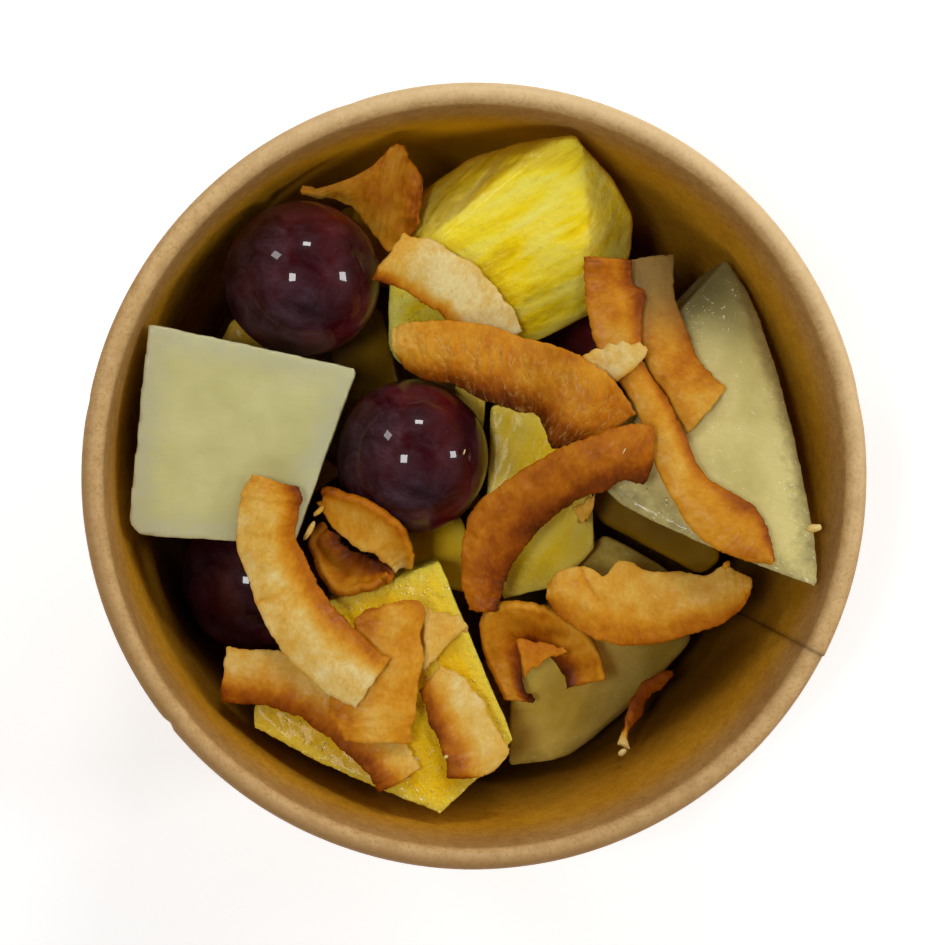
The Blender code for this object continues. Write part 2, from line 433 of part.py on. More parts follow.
chip("chip_02", [(-11.2, 35.6, 60.5), (-7.5, 34.6, 61), (-3.5, 32.9, 60.8), (0.1, 30.3, 60), (3.0, 27.1, 58.5), (5.0, 24.2, 57), (6.4, 21.2, 55.5)], [(-15.7, 28.5, 60), (-12.4, 27.8, 60), (-8.6, 25.6, 59.3), (-5.7, 23.6, 58.5), (-3.1, 21.0, 57), (-1.1, 19.3, 55.6), (0.7, 17.8, 54.6)], toast_pale, camber=0.7)
chip("chip_03", [(-12.8, 22.0, 58), (-10.6, 22.6, 59), (-5.7, 23.0, 60), (-0.5, 22.5, 60), (4.0, 21.6, 60.5), (9.0, 20.1, 61), (14.2, 18.0, 63), (19.4, 14.5, 64), (23.1, 9.2, 64)], [(-11.8, 17.7, 56.5), (-9.6, 14.8, 57), (-4.4, 13.6, 58), (0.4, 11.4, 58.5), (4.5, 9.7, 58.5), (7.7, 9.2, 59), (9.7, 6.2, 60), (10.6, 4.1, 60.5), (14.0, 3.8, 61)], toast, camber=1.4)
chip("chip_04", [(25.7, 7.9, 66.8), (22.3, 8.2, 66.5), (17.9, 7.3, 65.8), (13.2, 5.3, 64.5), (8.6, 2.8, 62.8), (3.7, -0.1, 60.8), (0.1, -3.1, 59), (-1.9, -7.0, 57.8), (-2.8, -11.8, 56.8), (-2.5, -15.8, 56.2), (-1.5, -19.3, 56)], [(25.6, 2.2, 66), (24.0, -1.1, 65.6), (20.6, -0.8, 65), (17.1, -2.6, 63.8), (13.7, -3.7, 62.3), (10.5, -6.4, 60.4), (7.7, -9.0, 58.8), (5.6, -11.9, 57.6), (3.9, -14.8, 56.8), (3.0, -17.4, 56.4), (2.9, -19.2, 56.2)], toast_dark, camber=1.0)
chip("chip_17", [(28.5, -28.0, 44.5), (26.6, -28.3, 44.8), (24.1, -29.9, 45.2), (22.3, -31.9, 45.8), (21.6, -34.3, 46.5), (21.1, -36.3, 47.4), (20.1, -39.0, 48.6)], [(28.8, -29.2, 44), (26.9, -31.0, 44.2), (25.2, -32.1, 44.8), (24.4, -34.3, 45.6), (22.7, -36.4, 46.8), (21.9, -38.1, 47.8), (22.5, -39.7, 48.8)], toast, camber=0.3, thick=1.1)
chip("chip_18", [(13.4, -4.3, 56), (15.3, -3.3, 56), (17.1, -2.3, 56)], [(14.7, -6.7, 55.5), (15.6, -6.5, 55.5), (16.8, -4.3, 55.7)], toast, camber=0.2, thick=1.1)

build_core()
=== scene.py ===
"""Fruit salad in a kraft paper pot: the visual model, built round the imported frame."""

import json
import math
import random

import bmesh
import bpy
from mathutils import Matrix, Vector, noise
from mathutils.bvhtree import BVHTree

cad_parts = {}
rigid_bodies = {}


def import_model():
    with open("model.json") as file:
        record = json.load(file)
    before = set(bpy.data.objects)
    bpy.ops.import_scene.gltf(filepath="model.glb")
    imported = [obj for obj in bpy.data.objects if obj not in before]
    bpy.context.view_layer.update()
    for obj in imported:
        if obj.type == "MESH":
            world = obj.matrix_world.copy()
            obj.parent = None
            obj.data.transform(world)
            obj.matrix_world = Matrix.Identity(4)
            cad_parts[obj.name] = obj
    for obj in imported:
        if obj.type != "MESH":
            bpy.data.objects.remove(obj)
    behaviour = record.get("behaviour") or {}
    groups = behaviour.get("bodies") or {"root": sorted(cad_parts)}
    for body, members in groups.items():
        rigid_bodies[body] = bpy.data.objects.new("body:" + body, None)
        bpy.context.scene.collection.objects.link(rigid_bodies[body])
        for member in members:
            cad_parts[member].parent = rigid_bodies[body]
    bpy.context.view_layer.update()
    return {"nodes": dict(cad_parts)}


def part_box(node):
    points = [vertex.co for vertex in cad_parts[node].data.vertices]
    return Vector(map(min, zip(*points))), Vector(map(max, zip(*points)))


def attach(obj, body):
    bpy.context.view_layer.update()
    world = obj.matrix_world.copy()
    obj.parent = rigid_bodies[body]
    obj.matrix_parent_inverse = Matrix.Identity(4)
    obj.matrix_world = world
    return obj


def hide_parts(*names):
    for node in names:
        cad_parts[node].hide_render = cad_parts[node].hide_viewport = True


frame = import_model()
NODES = frame["nodes"]
MM = 0.001
COARSE = 1.12

# ---------------------------------------------------------------- camera
HEIGHT = 70.0
APEX = Vector((-26.6, 13.9, HEIGHT + 350.0))
AIM = Vector((-1.0, 0.9, HEIGHT))
SPAN = 137.35  # width of the view at the rim plane, mm


def add_camera():
    data = bpy.data.cameras.new("camera")
    made = bpy.data.objects.new("camera", data)
    bpy.context.scene.collection.objects.link(made)
    made.location = APEX * MM
    forward = (AIM - APEX).normalized()
    side = forward.cross(Vector((0, 1, 0))).normalized()
    up = side.cross(forward)
    made.rotation_euler = Matrix((side, up, -forward)).transposed().to_euler()
    data.sensor_width = 36.0
    data.lens = 36.0 * (AIM - APEX).length / SPAN
    data.clip_start = 0.01
    data.dof.use_dof = False
    bpy.context.scene.camera = made


add_camera()
scene = bpy.context.scene
scene.view_settings.view_transform = "Standard"
scene.view_settings.look = "None"
scene.view_settings.exposure = 0.0


# ---------------------------------------------------------------- materials
def srgb(r, g, b):
    """Linear colour from 0-255 values as they look on screen."""
    out = []
    for c in (r, g, b):
        c /= 255.0
        out.append(c / 12.92 if c <= 0.04045 else ((c + 0.055) / 1.055) ** 2.4)
    return (*out, 1.0)


class Nodes:
    """A small helper to wire a material."""

    def __init__(self, name):
        self.mat = bpy.data.materials.new(name)
        self.mat.use_nodes = True
        self.tree = self.mat.node_tree
        self.shader = self.tree.nodes["Principled BSDF"]
        self.coords = self.tree.nodes.new("ShaderNodeTexCoord")

    def set(self, **sockets):
        for key, value in sockets.items():
            self.shader.inputs[key.replace("_", " ")].default_value = value
        return self

    def new(self, kind, **props):
        node = self.tree.nodes.new(kind)
        for key, value in props.items():
            if key in node.inputs and not hasattr(node, key):
                node.inputs[key].default_value = value
            else:
                setattr(node, key, value)
        return node

    def link(self, a, b):
        self.tree.links.new(a, b)

    def scaled(self, scale, rotation=None):
        """Object coordinates in millimetres, first turned, then scaled (so 1 unit = 1 mm / scale)."""
        vector = self.coords.outputs["Object"]
        if rotation is not None:
            turn = self.new("ShaderNodeMapping")
            turn.inputs["Rotation"].default_value = rotation
            self.link(vector, turn.inputs["Vector"])
            vector = turn.outputs["Vector"]
        mapping = self.new("ShaderNodeMapping")
        mapping.inputs["Scale"].default_value = tuple(1000.0 * s for s in scale)
        self.link(vector, mapping.inputs["Vector"])
        return mapping.outputs["Vector"]

    def combined(self, x, y, z=0.0):
        node = self.new("ShaderNodeCombineXYZ")
        for value, socket in zip((x, y, z), node.inputs):
            if isinstance(value, bpy.types.NodeSocket):
                self.link(value, socket)
            else:
                socket.default_value = value
        return node.outputs[0]

    def noise(self, vector, scale=1.0, detail=4.0, rough=0.55, distortion=0.0):
        node = self.new("ShaderNodeTexNoise")
        node.inputs["Scale"].default_value = scale
        node.inputs["Detail"].default_value = detail
        node.inputs["Roughness"].default_value = rough
        node.inputs["Distortion"].default_value = distortion
        self.link(vector, node.inputs["Vector"])
        return node.outputs["Fac"]

    def ramp(self, fac, *stops, interpolation="LINEAR"):
        node = self.new("ShaderNodeValToRGB")
        ramp = node.color_ramp
        ramp.interpolation = interpolation
        while len(ramp.elements) < len(stops):
            ramp.elements.new(0.5)
        for element, (place, colour) in zip(ramp.elements, stops):
            element.position = place
            element.color = colour if len(colour) == 4 else (*colour, 1.0)
        self.link(fac, node.inputs["Fac"])
        return node.outputs["Color"]

    def grey(self, fac, lo, hi, a=0.0, b=1.0):
        """fac from lo..hi mapped to a..b, clamped."""
        node = self.new("ShaderNodeMapRange")
        node.inputs["From Min"].default_value = lo
        node.inputs["From Max"].default_value = hi
        node.inputs["To Min"].default_value = a
        node.inputs["To Max"].default_value = b
        self.link(fac, node.inputs["Value"])
        return node.outputs["Result"]

    def mix(self, fac, a, b, blend="MIX"):
        node = self.new("ShaderNodeMix")
        node.data_type = "RGBA"
        node.blend_type = blend
        node.clamp_factor = True
        for value, socket in ((fac, node.inputs[0]), (a, node.inputs[6]), (b, node.inputs[7])):
            if isinstance(value, bpy.types.NodeSocket):
                self.link(value, socket)
            else:
                socket.default_value = value
        return node.outputs[2]

    def math(self, operation, a, b=0.0):
        node = self.new("ShaderNodeMath", operation=operation)
        for value, socket in ((a, node.inputs[0]), (b, node.inputs[1])):
            if isinstance(value, bpy.types.NodeSocket):
                self.link(value, socket)
            else:
                socket.default_value = value
        return node.outputs[0]

    def attribute(self, name, output="Fac"):
        node = self.new("ShaderNodeAttribute")
        node.attribute_name = name
        return node.outputs[output]

    def bump(self, *layers):
        """layers of (height, distance in mm, strength)"""
        normal = None
        for height, distance, strength in layers:
            node = self.new("ShaderNodeBump")
            node.inputs["Strength"].default_value = strength
            node.inputs["Distance"].default_value = distance * MM
            self.link(height, node.inputs["Height"])
            if normal is not None:
                self.link(normal, node.inputs["Normal"])
            normal = node.outputs["Normal"]
        self.link(normal, self.shader.inputs["Normal"])
        return normal

    def colour(self, socket):
        self.link(socket, self.shader.inputs["Base Color"])

    def rough(self, socket):
        self.link(socket, self.shader.inputs["Roughness"])


def kraft_material():
    """Brown board with long fibres round the wall, a satin film on it, paler along the rolled rim and deeper inside.
    That deeper, more saturated inside colour is painted bounce light; painted shade falls on the deep front wall, a
    painted glow of bounced light on the back wall, and painted light and shade on the rim's outer side.
    """
    m = Nodes("kraft_board")
    p = m.scaled((1, 1, 1))
    arc, drop = m.attribute("arc"), m.attribute("drop")
    broad = m.noise(p, 0.07, 3, 0.5)
    cloud = m.noise(p, 0.45, 3, 0.6)
    mottle = m.noise(p, 1.6, 4, 0.72)
    streaks = m.noise(m.combined(m.math("MULTIPLY", arc, 0.30), m.math("MULTIPLY", drop, 1.1)), 1.0, 3, 0.65, 0.6)
    hairs = m.noise(m.combined(m.math("MULTIPLY", arc, 2.2), m.math("MULTIPLY", drop, 1.6)), 1.0, 3, 0.7, 1.6)
    grain = m.noise(p, 5.0, 3, 0.75)
    fleck = m.noise(m.combined(m.math("MULTIPLY", arc, 2.6), m.math("MULTIPLY", drop, 0.9), 4.0), 1.0, 2, 0.5, 1.2)
    outside = m.ramp(broad, (0.3, srgb(182, 136, 76)), (0.7, srgb(192, 148, 88)))
    inside = m.ramp(broad, (0.3, srgb(200, 140, 22)), (0.7, srgb(212, 154, 34)))
    # painted bounce light: below the rim the inner wall is painted a more saturated yellow-brown, standing in for light
    # reflected between the walls
    base = m.mix(m.attribute("deep"), outside, inside)
    base = m.mix(m.math("MULTIPLY", m.attribute("rim"), 0.66), base, srgb(226, 190, 134))
    dark = m.mix(1.0, base, srgb(206, 188, 158), "MULTIPLY")
    light = m.mix(0.4, base, srgb(244, 206, 140))
    base = m.mix(m.grey(cloud, 0.42, 0.62, 0.0, 0.35), base, dark)
    base = m.mix(m.grey(mottle, 0.50, 0.62, 0.0, 0.5), base, dark)
    base = m.mix(m.grey(streaks, 0.54, 0.66, 0.0, 0.18), base, dark)
    base = m.mix(m.grey(hairs, 0.58, 0.70, 0.0, 0.35), base, light)
    base = m.mix(m.grey(grain, 0.54, 0.66, 0.0, 0.35), base, light)
    base = m.mix(m.grey(fleck, 0.70, 0.76, 0.0, 0.55), base, srgb(120, 76, 30))
    # painted shade: the deep front wall and the floor's centre darken toward dark brown
    base = m.mix(m.math("MULTIPLY", m.attribute("painted_front_wall_shade"), 0.8), base, srgb(84, 46, 2))
    # painted light: the back wall below the rim is lit up in gold, standing in for light bounced off the pineapple
    base = m.mix(m.math("MULTIPLY", m.attribute("painted_bounce_glow"), 0.85), base, srgb(250, 184, 14))
    # painted shade and painted light: the rim's outer side is darker away from the back-right and paler toward it
    base = m.mix(m.math("MULTIPLY", m.attribute("painted_rim_shade"), 0.75), base, srgb(148, 108, 62))
    base = m.mix(m.math("MULTIPLY", m.attribute("painted_rim_light"), 0.55), base, srgb(250, 222, 172))
    base = m.mix(m.math("MULTIPLY", m.attribute("seam"), 0.75), base, srgb(74, 42, 14))
    m.colour(base)
    m.rough(m.grey(cloud, 0.3, 0.7, 0.40, 0.55))
    m.set(**{"Coat_Weight": 0.07, "Coat_Roughness": 0.25, "Specular_IOR_Level": 0.12})
    m.bump((hairs, 0.04, 0.5), (grain, 0.03, 0.5))
    return m.mat


def painted_glints(m, p, size, level, region=0.5):
    """Painted highlights: short bright strokes in clusters, 0..1, sparse."""
    spots = m.noise(p, size, 1, 0.5, 0.8)
    where = m.noise(p, 0.18, 3, 0.6)
    return m.math("MULTIPLY", m.grey(spots, level, level + 0.03, 0.0, 1.0), m.grey(where, region - 0.04, region + 0.06, 0.0, 1.0))


def melon_material(name, pale, green, deep, rim, painted_glint_amount=0.9, reach=3.0):
    """Pale flesh: milky inside, glassier and greyer in a band of `reach` mm along the cut edges, wet-looking through a
    glossy coat and painted glints (painted highlights).
    """
    m = Nodes(name)
    p = m.scaled((1, 1, 1))
    cloud = m.noise(p, 0.09, 3, 0.55)
    grain = m.noise(p, 1.1, 4, 0.6)
    fine = m.noise(p, 4.5, 3, 0.6)
    fibre = m.noise(m.scaled((0.32, 2.4, 1.2), (0.2, 0.1, math.radians(20))), 1.0, 4, 0.6, 0.4)
    base = m.ramp(cloud, (0.34, green), (0.60, pale))
    base = m.mix(m.grey(grain, 0.48, 0.72, 0.0, 0.25), base, pale)
    base = m.mix(m.grey(fibre, 0.5, 0.72, 0.0, 0.35), base, green)
    edge = m.attribute("edge")
    wavy = m.math("ADD", edge, m.grey(m.noise(p, 0.5, 4, 0.6), 0.3, 0.7, -1.4, 1.4))
    base = m.mix(m.grey(wavy, 0.2, reach, 0.85, 0.0), base, rim)
    base = m.mix(m.grey(edge, 0.15, 0.55, 0.45, 0.0), base, pale)
    base = m.mix(m.math("MULTIPLY", m.attribute("shade"), 0.92), base, deep)
    # painted highlights: near-white strokes standing in for glints on the wet flesh
    painted_glint_mask = m.math("MAXIMUM", painted_glints(m, p, 2.5, 0.69, 0.48), m.math("MULTIPLY", painted_glints(m, m.scaled((0.8, 1.6, 1.0), (0.0, 0.0, 0.6)), 1.5, 0.72, 0.5), 0.8))
    base = m.mix(m.math("MULTIPLY", painted_glint_mask, painted_glint_amount), base, srgb(246, 244, 214))
    m.colour(base)
    m.rough(m.grey(grain, 0.35, 0.65, 0.34, 0.5))
    m.set(**{"Subsurface_Weight": 0.4, "Subsurface_Scale": 0.003, "Subsurface_Radius": (1.0, 0.95, 0.45), "Coat_Weight": 0.2, "Coat_Roughness": 0.08, "Specular_IOR_Level": 0.12})
    m.bump((fibre, 0.08, 0.3), (fine, 0.04, 0.6))
    return m.mat


def pineapple_material(name, pale, body, deep, pith, angle, streak=1.0):
    """Fibrous yellow flesh, the fibres running at `angle` round Z; glassy and paler along the cut edges."""
    m = Nodes(name)
    p = m.scaled((1, 1, 1))
    turned = (0.0, 0.0, -math.radians(angle))
    cloud = m.noise(p, 0.10, 2, 0.5)
    bands = m.noise(m.scaled((0.035, 0.26, 0.26), turned), 1.0, 4, 0.55, 0.25)
    fibres = m.noise(m.scaled((0.16, 1.7, 1.7), turned), 1.0, 5, 0.62, 0.25)
    fine = m.noise(m.scaled((0.5, 5.0, 5.0), turned), 1.0, 4, 0.6, 0.2)
    grain = m.noise(p, 2.0, 4, 0.6)
    base = m.ramp(cloud, (0.32, body), (0.66, m_mid(body, pale)))
    base = m.mix(m.grey(bands, 0.46, 0.66, 0.0, 0.75 * streak), base, pith)
    base = m.mix(m.grey(bands, 0.46, 0.36, 0.0, 0.3 * streak), base, deep)
    base = m.mix(m.grey(fibres, 0.52, 0.74, 0.0, 0.3 * streak), base, pith)
    base = m.mix(m.grey(fibres, 0.45, 0.30, 0.0, 0.16 * streak), base, deep)
    base = m.mix(m.grey(fine, 0.58, 0.78, 0.0, 0.15), base, pith)
    edge = m.attribute("edge")
    wavy = m.math("ADD", edge, m.grey(grain, 0.3, 0.7, -0.6, 0.6))
    base = m.mix(m.math("MULTIPLY", m.grey(wavy, 0.2, 2.6, 0.8, 0.0), m.attribute("glass")), base, pith)
    base = m.mix(m.math("MULTIPLY", m.attribute("shade"), 0.95), base, deep)
    # painted highlights: near-white strokes standing in for glints, mostly on the glassy parts
    painted_glint_mask = m.math("MULTIPLY", painted_glints(m, p, 1.9, 0.69, 0.48), m.grey(m.attribute("glass"), 0.3, 1.0, 0.0, 1.0))
    base = m.mix(painted_glint_mask, base, srgb(255, 250, 214))
    m.colour(base)
    m.rough(m.grey(grain, 0.35, 0.65, 0.34, 0.5))
    m.set(**{"Subsurface_Weight": 0.35, "Subsurface_Scale": 0.0025, "Subsurface_Radius": (1.0, 0.85, 0.15), "Coat_Weight": 0.09, "Coat_Roughness": 0.12, "Specular_IOR_Level": 0.08})
    ripples = m.math("MULTIPLY", m.noise(p, 0.9, 3, 0.6), m.grey(m.attribute("glass"), 0.0, 1.0, 0.2, 1.0))
    m.bump((fibres, 0.12, 0.4), (ripples, 0.7, 0.8))
    return m.mat


def m_mid(a, b):
    return tuple((x + y) / 2 for x, y in zip(a, b))


def grape_material(name, lift=1.0):
    """Dark maroon skin with a thin haze of bloom where it hasn't been wiped off."""
    m = Nodes(name)
    p = m.scaled((1, 1, 1))
    cloud = m.noise(p, 0.09, 2, 0.5)
    patch = m.noise(p, 0.20, 5, 0.62, 0.6)
    wisps = m.noise(m.scaled((0.5, 1.6, 0.9), (0.4, 0.2, 0.5)), 1.0, 4, 0.65, 0.6)
    speck = m.noise(p, 2.4, 2, 0.5)
    # painted light: lift brightens the whole skin colour for a grape that should catch more light
    base = m.ramp(cloud, (0.34, srgb(32 * lift, 3 * lift, 9 * lift)), (0.52, srgb(54 * lift, 6 * lift, 11 * lift)), (0.68, srgb(80 * lift, 11 * lift, 12 * lift)))
    base = m.mix(m.grey(speck, 0.71, 0.80, 0.0, 0.35), base, srgb(118, 74, 50))
    haze = m.math("MULTIPLY", m.grey(patch, 0.40, 0.66, 0.0, 1.0), m.grey(wisps, 0.3, 0.65, 0.45, 1.0))
    wiped = m.math("MULTIPLY", haze, m.attribute("bloom"))
    base = m.mix(m.math("MULTIPLY", wiped, 0.30), base, srgb(116, 92, 106))
    base = m.mix(m.math("MULTIPLY", m.attribute("blush"), 0.8), base, srgb(96, 62, 14))
    m.colour(base)
    m.rough(m.grey(wiped, 0.0, 1.0, 0.3, 0.55))
    m.set(**{"Coat_Weight": 0.5, "Coat_Roughness": 0.03, "Specular_IOR_Level": 0.05, "Subsurface_Weight": 0.08, "Subsurface_Scale": 0.003, "Subsurface_Radius": (1.0, 0.2, 0.1)})
    m.bump((m.noise(p, 0.45, 3, 0.5), 0.12, 0.12), (speck, 0.01, 0.3))
    return m.mat


def coconut_material(name, crackle=False):
    """The toasting is painted per chip into the point colour; nodes add sandy grain, pores and pale specks painted as
    oily glints (painted highlights).
    """
    m = Nodes(name)
    p = m.scaled((1, 1, 1))
    grain = m.noise(p, 1.6, 5, 0.7)
    fine = m.noise(p, 6.0, 4, 0.7)
    pores = m.noise(p, 3.0, 2, 0.5)
    base = m.attribute("toast", "Color")
    base = m.mix(m.grey(grain, 0.38, 0.66, 0.0, 0.30), base, m.mix(1.0, base, srgb(226, 188, 140), "MULTIPLY"))
    base = m.mix(m.grey(pores, 0.62, 0.76, 0.0, 0.4), base, m.mix(1.0, base, srgb(200, 150, 96), "MULTIPLY"))
    # painted highlights: pale specks standing in for oily glints
    base = m.mix(m.grey(fine, 0.60, 0.74, 0.0, 0.30), base, m.mix(0.5, base, srgb(248, 214, 150)))
    relief = [(grain, 0.10, 0.4), (fine, 0.07, 0.7)]
    if crackle:
        # a crackled rind: cells narrow along the strip and long across it, with paler seams
        warp = m.noise(p, 0.5, 3, 0.6)
        cells = m.new("ShaderNodeTexVoronoi", feature="DISTANCE_TO_EDGE")
        cells.inputs["Scale"].default_value = 1.0
        where = m.combined(m.math("ADD", m.math("MULTIPLY", m.attribute("run"), 0.95), m.math("MULTIPLY", warp, 1.6)), m.math("ADD", m.math("MULTIPLY", m.attribute("across"), 0.26), m.math("MULTIPLY", grain, 0.25)))
        m.link(where, cells.inputs["Vector"])
        seams = m.grey(cells.outputs["Distance"], 0.0, 0.09, 1.0, 0.0)
        patchy = m.grey(m.noise(p, 0.8, 2, 0.6), 0.42, 0.56, 0.1, 1.0)
        crackled = m.math("MULTIPLY", m.math("MULTIPLY", seams, patchy), m.attribute("crackle"))
        base = m.mix(m.math("MULTIPLY", crackled, 0.6), base, m.mix(0.5, base, srgb(248, 196, 96)))
        relief = [(m.math("MULTIPLY", crackled, -1.0), 0.18, 0.7), (fine, 0.07, 0.7)]
    m.colour(base)
    m.rough(m.grey(grain, 0.3, 0.7, 0.36, 0.55))
    m.set(**{"Coat_Weight": 0.05, "Coat_Roughness": 0.2, "Specular_IOR_Level": 0.14})
    m.bump(*relief)
    return m.mat


KRAFT = kraft_material()
MELON = melon_material("melon_flesh", srgb(206, 199, 140), srgb(194, 187, 124), srgb(112, 88, 12), srgb(190, 186, 152), 0.0, 5.0)
MELON_RIGHT = melon_material("melon_flesh_right", srgb(228, 214, 142), srgb(204, 190, 116), srgb(92, 84, 46), srgb(162, 148, 96), 0.75, 3.4)
MELON_FRONT = melon_material("melon_flesh_front", srgb(240, 214, 112), srgb(214, 186, 78), srgb(96, 66, 0), srgb(188, 162, 72), 0.3, 3.0)
# painted light: this copy of the melon flesh is painted far brighter, in place of the light that reaches the low piece
MELON_LOW = melon_material("melon_flesh_low", srgb(252, 206, 14), srgb(240, 190, 4), srgb(190, 140, 0), srgb(250, 214, 60), 0.1, 2.0)
SHADED = melon_material("fruit_in_shade", srgb(160, 122, 16), srgb(140, 104, 4), srgb(96, 64, 0), srgb(150, 114, 10), 0.0, 2.0)
PINE_BACK = pineapple_material("pineapple_flesh_back", srgb(255, 238, 66), srgb(255, 220, 4), srgb(172, 126, 0), srgb(252, 240, 122), 33)
PINE_FRONT = pineapple_material("pineapple_flesh_front", srgb(250, 220, 34), srgb(246, 192, 0), srgb(206, 148, 0), srgb(226, 206, 78), -58, 0.6)
PINE_MID = pineapple_material("pineapple_flesh_middle", srgb(250, 226, 70), srgb(244, 204, 12), srgb(196, 140, 0), srgb(248, 230, 134), 70, 0.5)
GRAPE = grape_material("grape_skin")
# painted light: the deep grape's skin is painted 1.5 times brighter in place of the light it gets
GRAPE_DEEP = grape_material("grape_skin_deep", 1.5)
COCONUT = coconut_material("coconut_toasted")
COCONUT_CRACKLED = coconut_material("coconut_crackled", True)


# ---------------------------------------------------------------- geometry helpers
def smoothstep(a, b, x):
    t = min(1.0, max(0.0, (x - a) / (b - a)))
    return t * t * (3 - 2 * t)


def fbm(p, scale, octaves=4):
    return noise.fractal(Vector(p) * scale, 0.6, 2.0, octaves)


def add_object(name, mesh, look, slot, *replaced):
    made = bpy.data.objects.new(name, mesh)
    scene.collection.objects.link(made)
    mesh.materials.clear()
    mesh.materials.append(look)
    for poly in mesh.polygons:
        poly.use_smooth = True
    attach(made, "root")
    if replaced:
        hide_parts(*replaced)
    return made


def float_attribute(mesh, name, values):
    layer = mesh.attributes.new(name, "FLOAT", "POINT")
    layer.data.foreach_set("value", values)


def colour_attribute(mesh, name, values):
    layer = mesh.attributes.new(name, "FLOAT_COLOR", "POINT")
    layer.data.foreach_set("color", [c for value in values for c in value])


def evaluated_mesh(obj, name):
    graph = bpy.context.evaluated_depsgraph_get()
    mesh = bpy.data.meshes.new_from_object(obj.evaluated_get(graph))
    mesh.name = name
    return mesh


def remeshed(node, voxel_mm, soften=2):
    """A fine even mesh of a CAD node, its knife edges slightly softened."""
    source = NODES[node]
    copy = bpy.data.objects.new(node + "_work", source.data.copy())
    scene.collection.objects.link(copy)
    remesh = copy.modifiers.new("remesh", "REMESH")
    remesh.mode = "VOXEL"
    remesh.voxel_size = voxel_mm * MM
    smooth = copy.modifiers.new("smooth", "SMOOTH")
    smooth.iterations = soften
    smooth.factor = 0.5
    mesh = evaluated_mesh(copy, node + "_fine")
    bpy.data.objects.remove(copy)
    return mesh


def hull_edges(node, angle=28):
    """The sharp edges of a CAD node, as pairs of points in mm."""
    bm = bmesh.new()
    bm.from_mesh(NODES[node].data)
    bmesh.ops.remove_doubles(bm, verts=bm.verts, dist=1e-6)
    found = []
    for e in bm.edges:
        if len(e.link_faces) == 2 and e.calc_face_angle(0.0) > math.radians(angle):
            found.append((e.verts[0].co / MM, e.verts[1].co / MM))
    bm.free()
    return found


def edge_distance(points, edges, cap=6.0):
    """Distance in mm of each point from the nearest edge, up to cap."""
    samples = []
    for a, b in edges:
        count = max(1, int((b - a).length / 0.7))
        samples += [a.lerp(b, i / count) for i in range(count + 1)]
    from mathutils.kdtree import KDTree

    tree = KDTree(len(samples))
    for i, s in enumerate(samples):
        tree.insert(s, i)
    tree.balance()
    return [min(cap, tree.find(p)[2]) for p in points]


# ---------------------------------------------------------------- pot
RIM_RADIUS, ROLL_RADIUS, TAPER, BOARD, FLOOR_Z = 57.5, 1.6, 0.14, 0.6, 5.5
SEAM_AZIMUTH = math.radians(-27.4)
SEAM_STEP, SEAM_RUN = 0.22, math.radians(26.0)
WALL_TOP_R, WALL_TOP_Z = RIM_RADIUS - 2 * ROLL_RADIUS, HEIGHT - ROLL_RADIUS


def wall_radius(z):
    return WALL_TOP_R - TAPER * (WALL_TOP_Z - z)


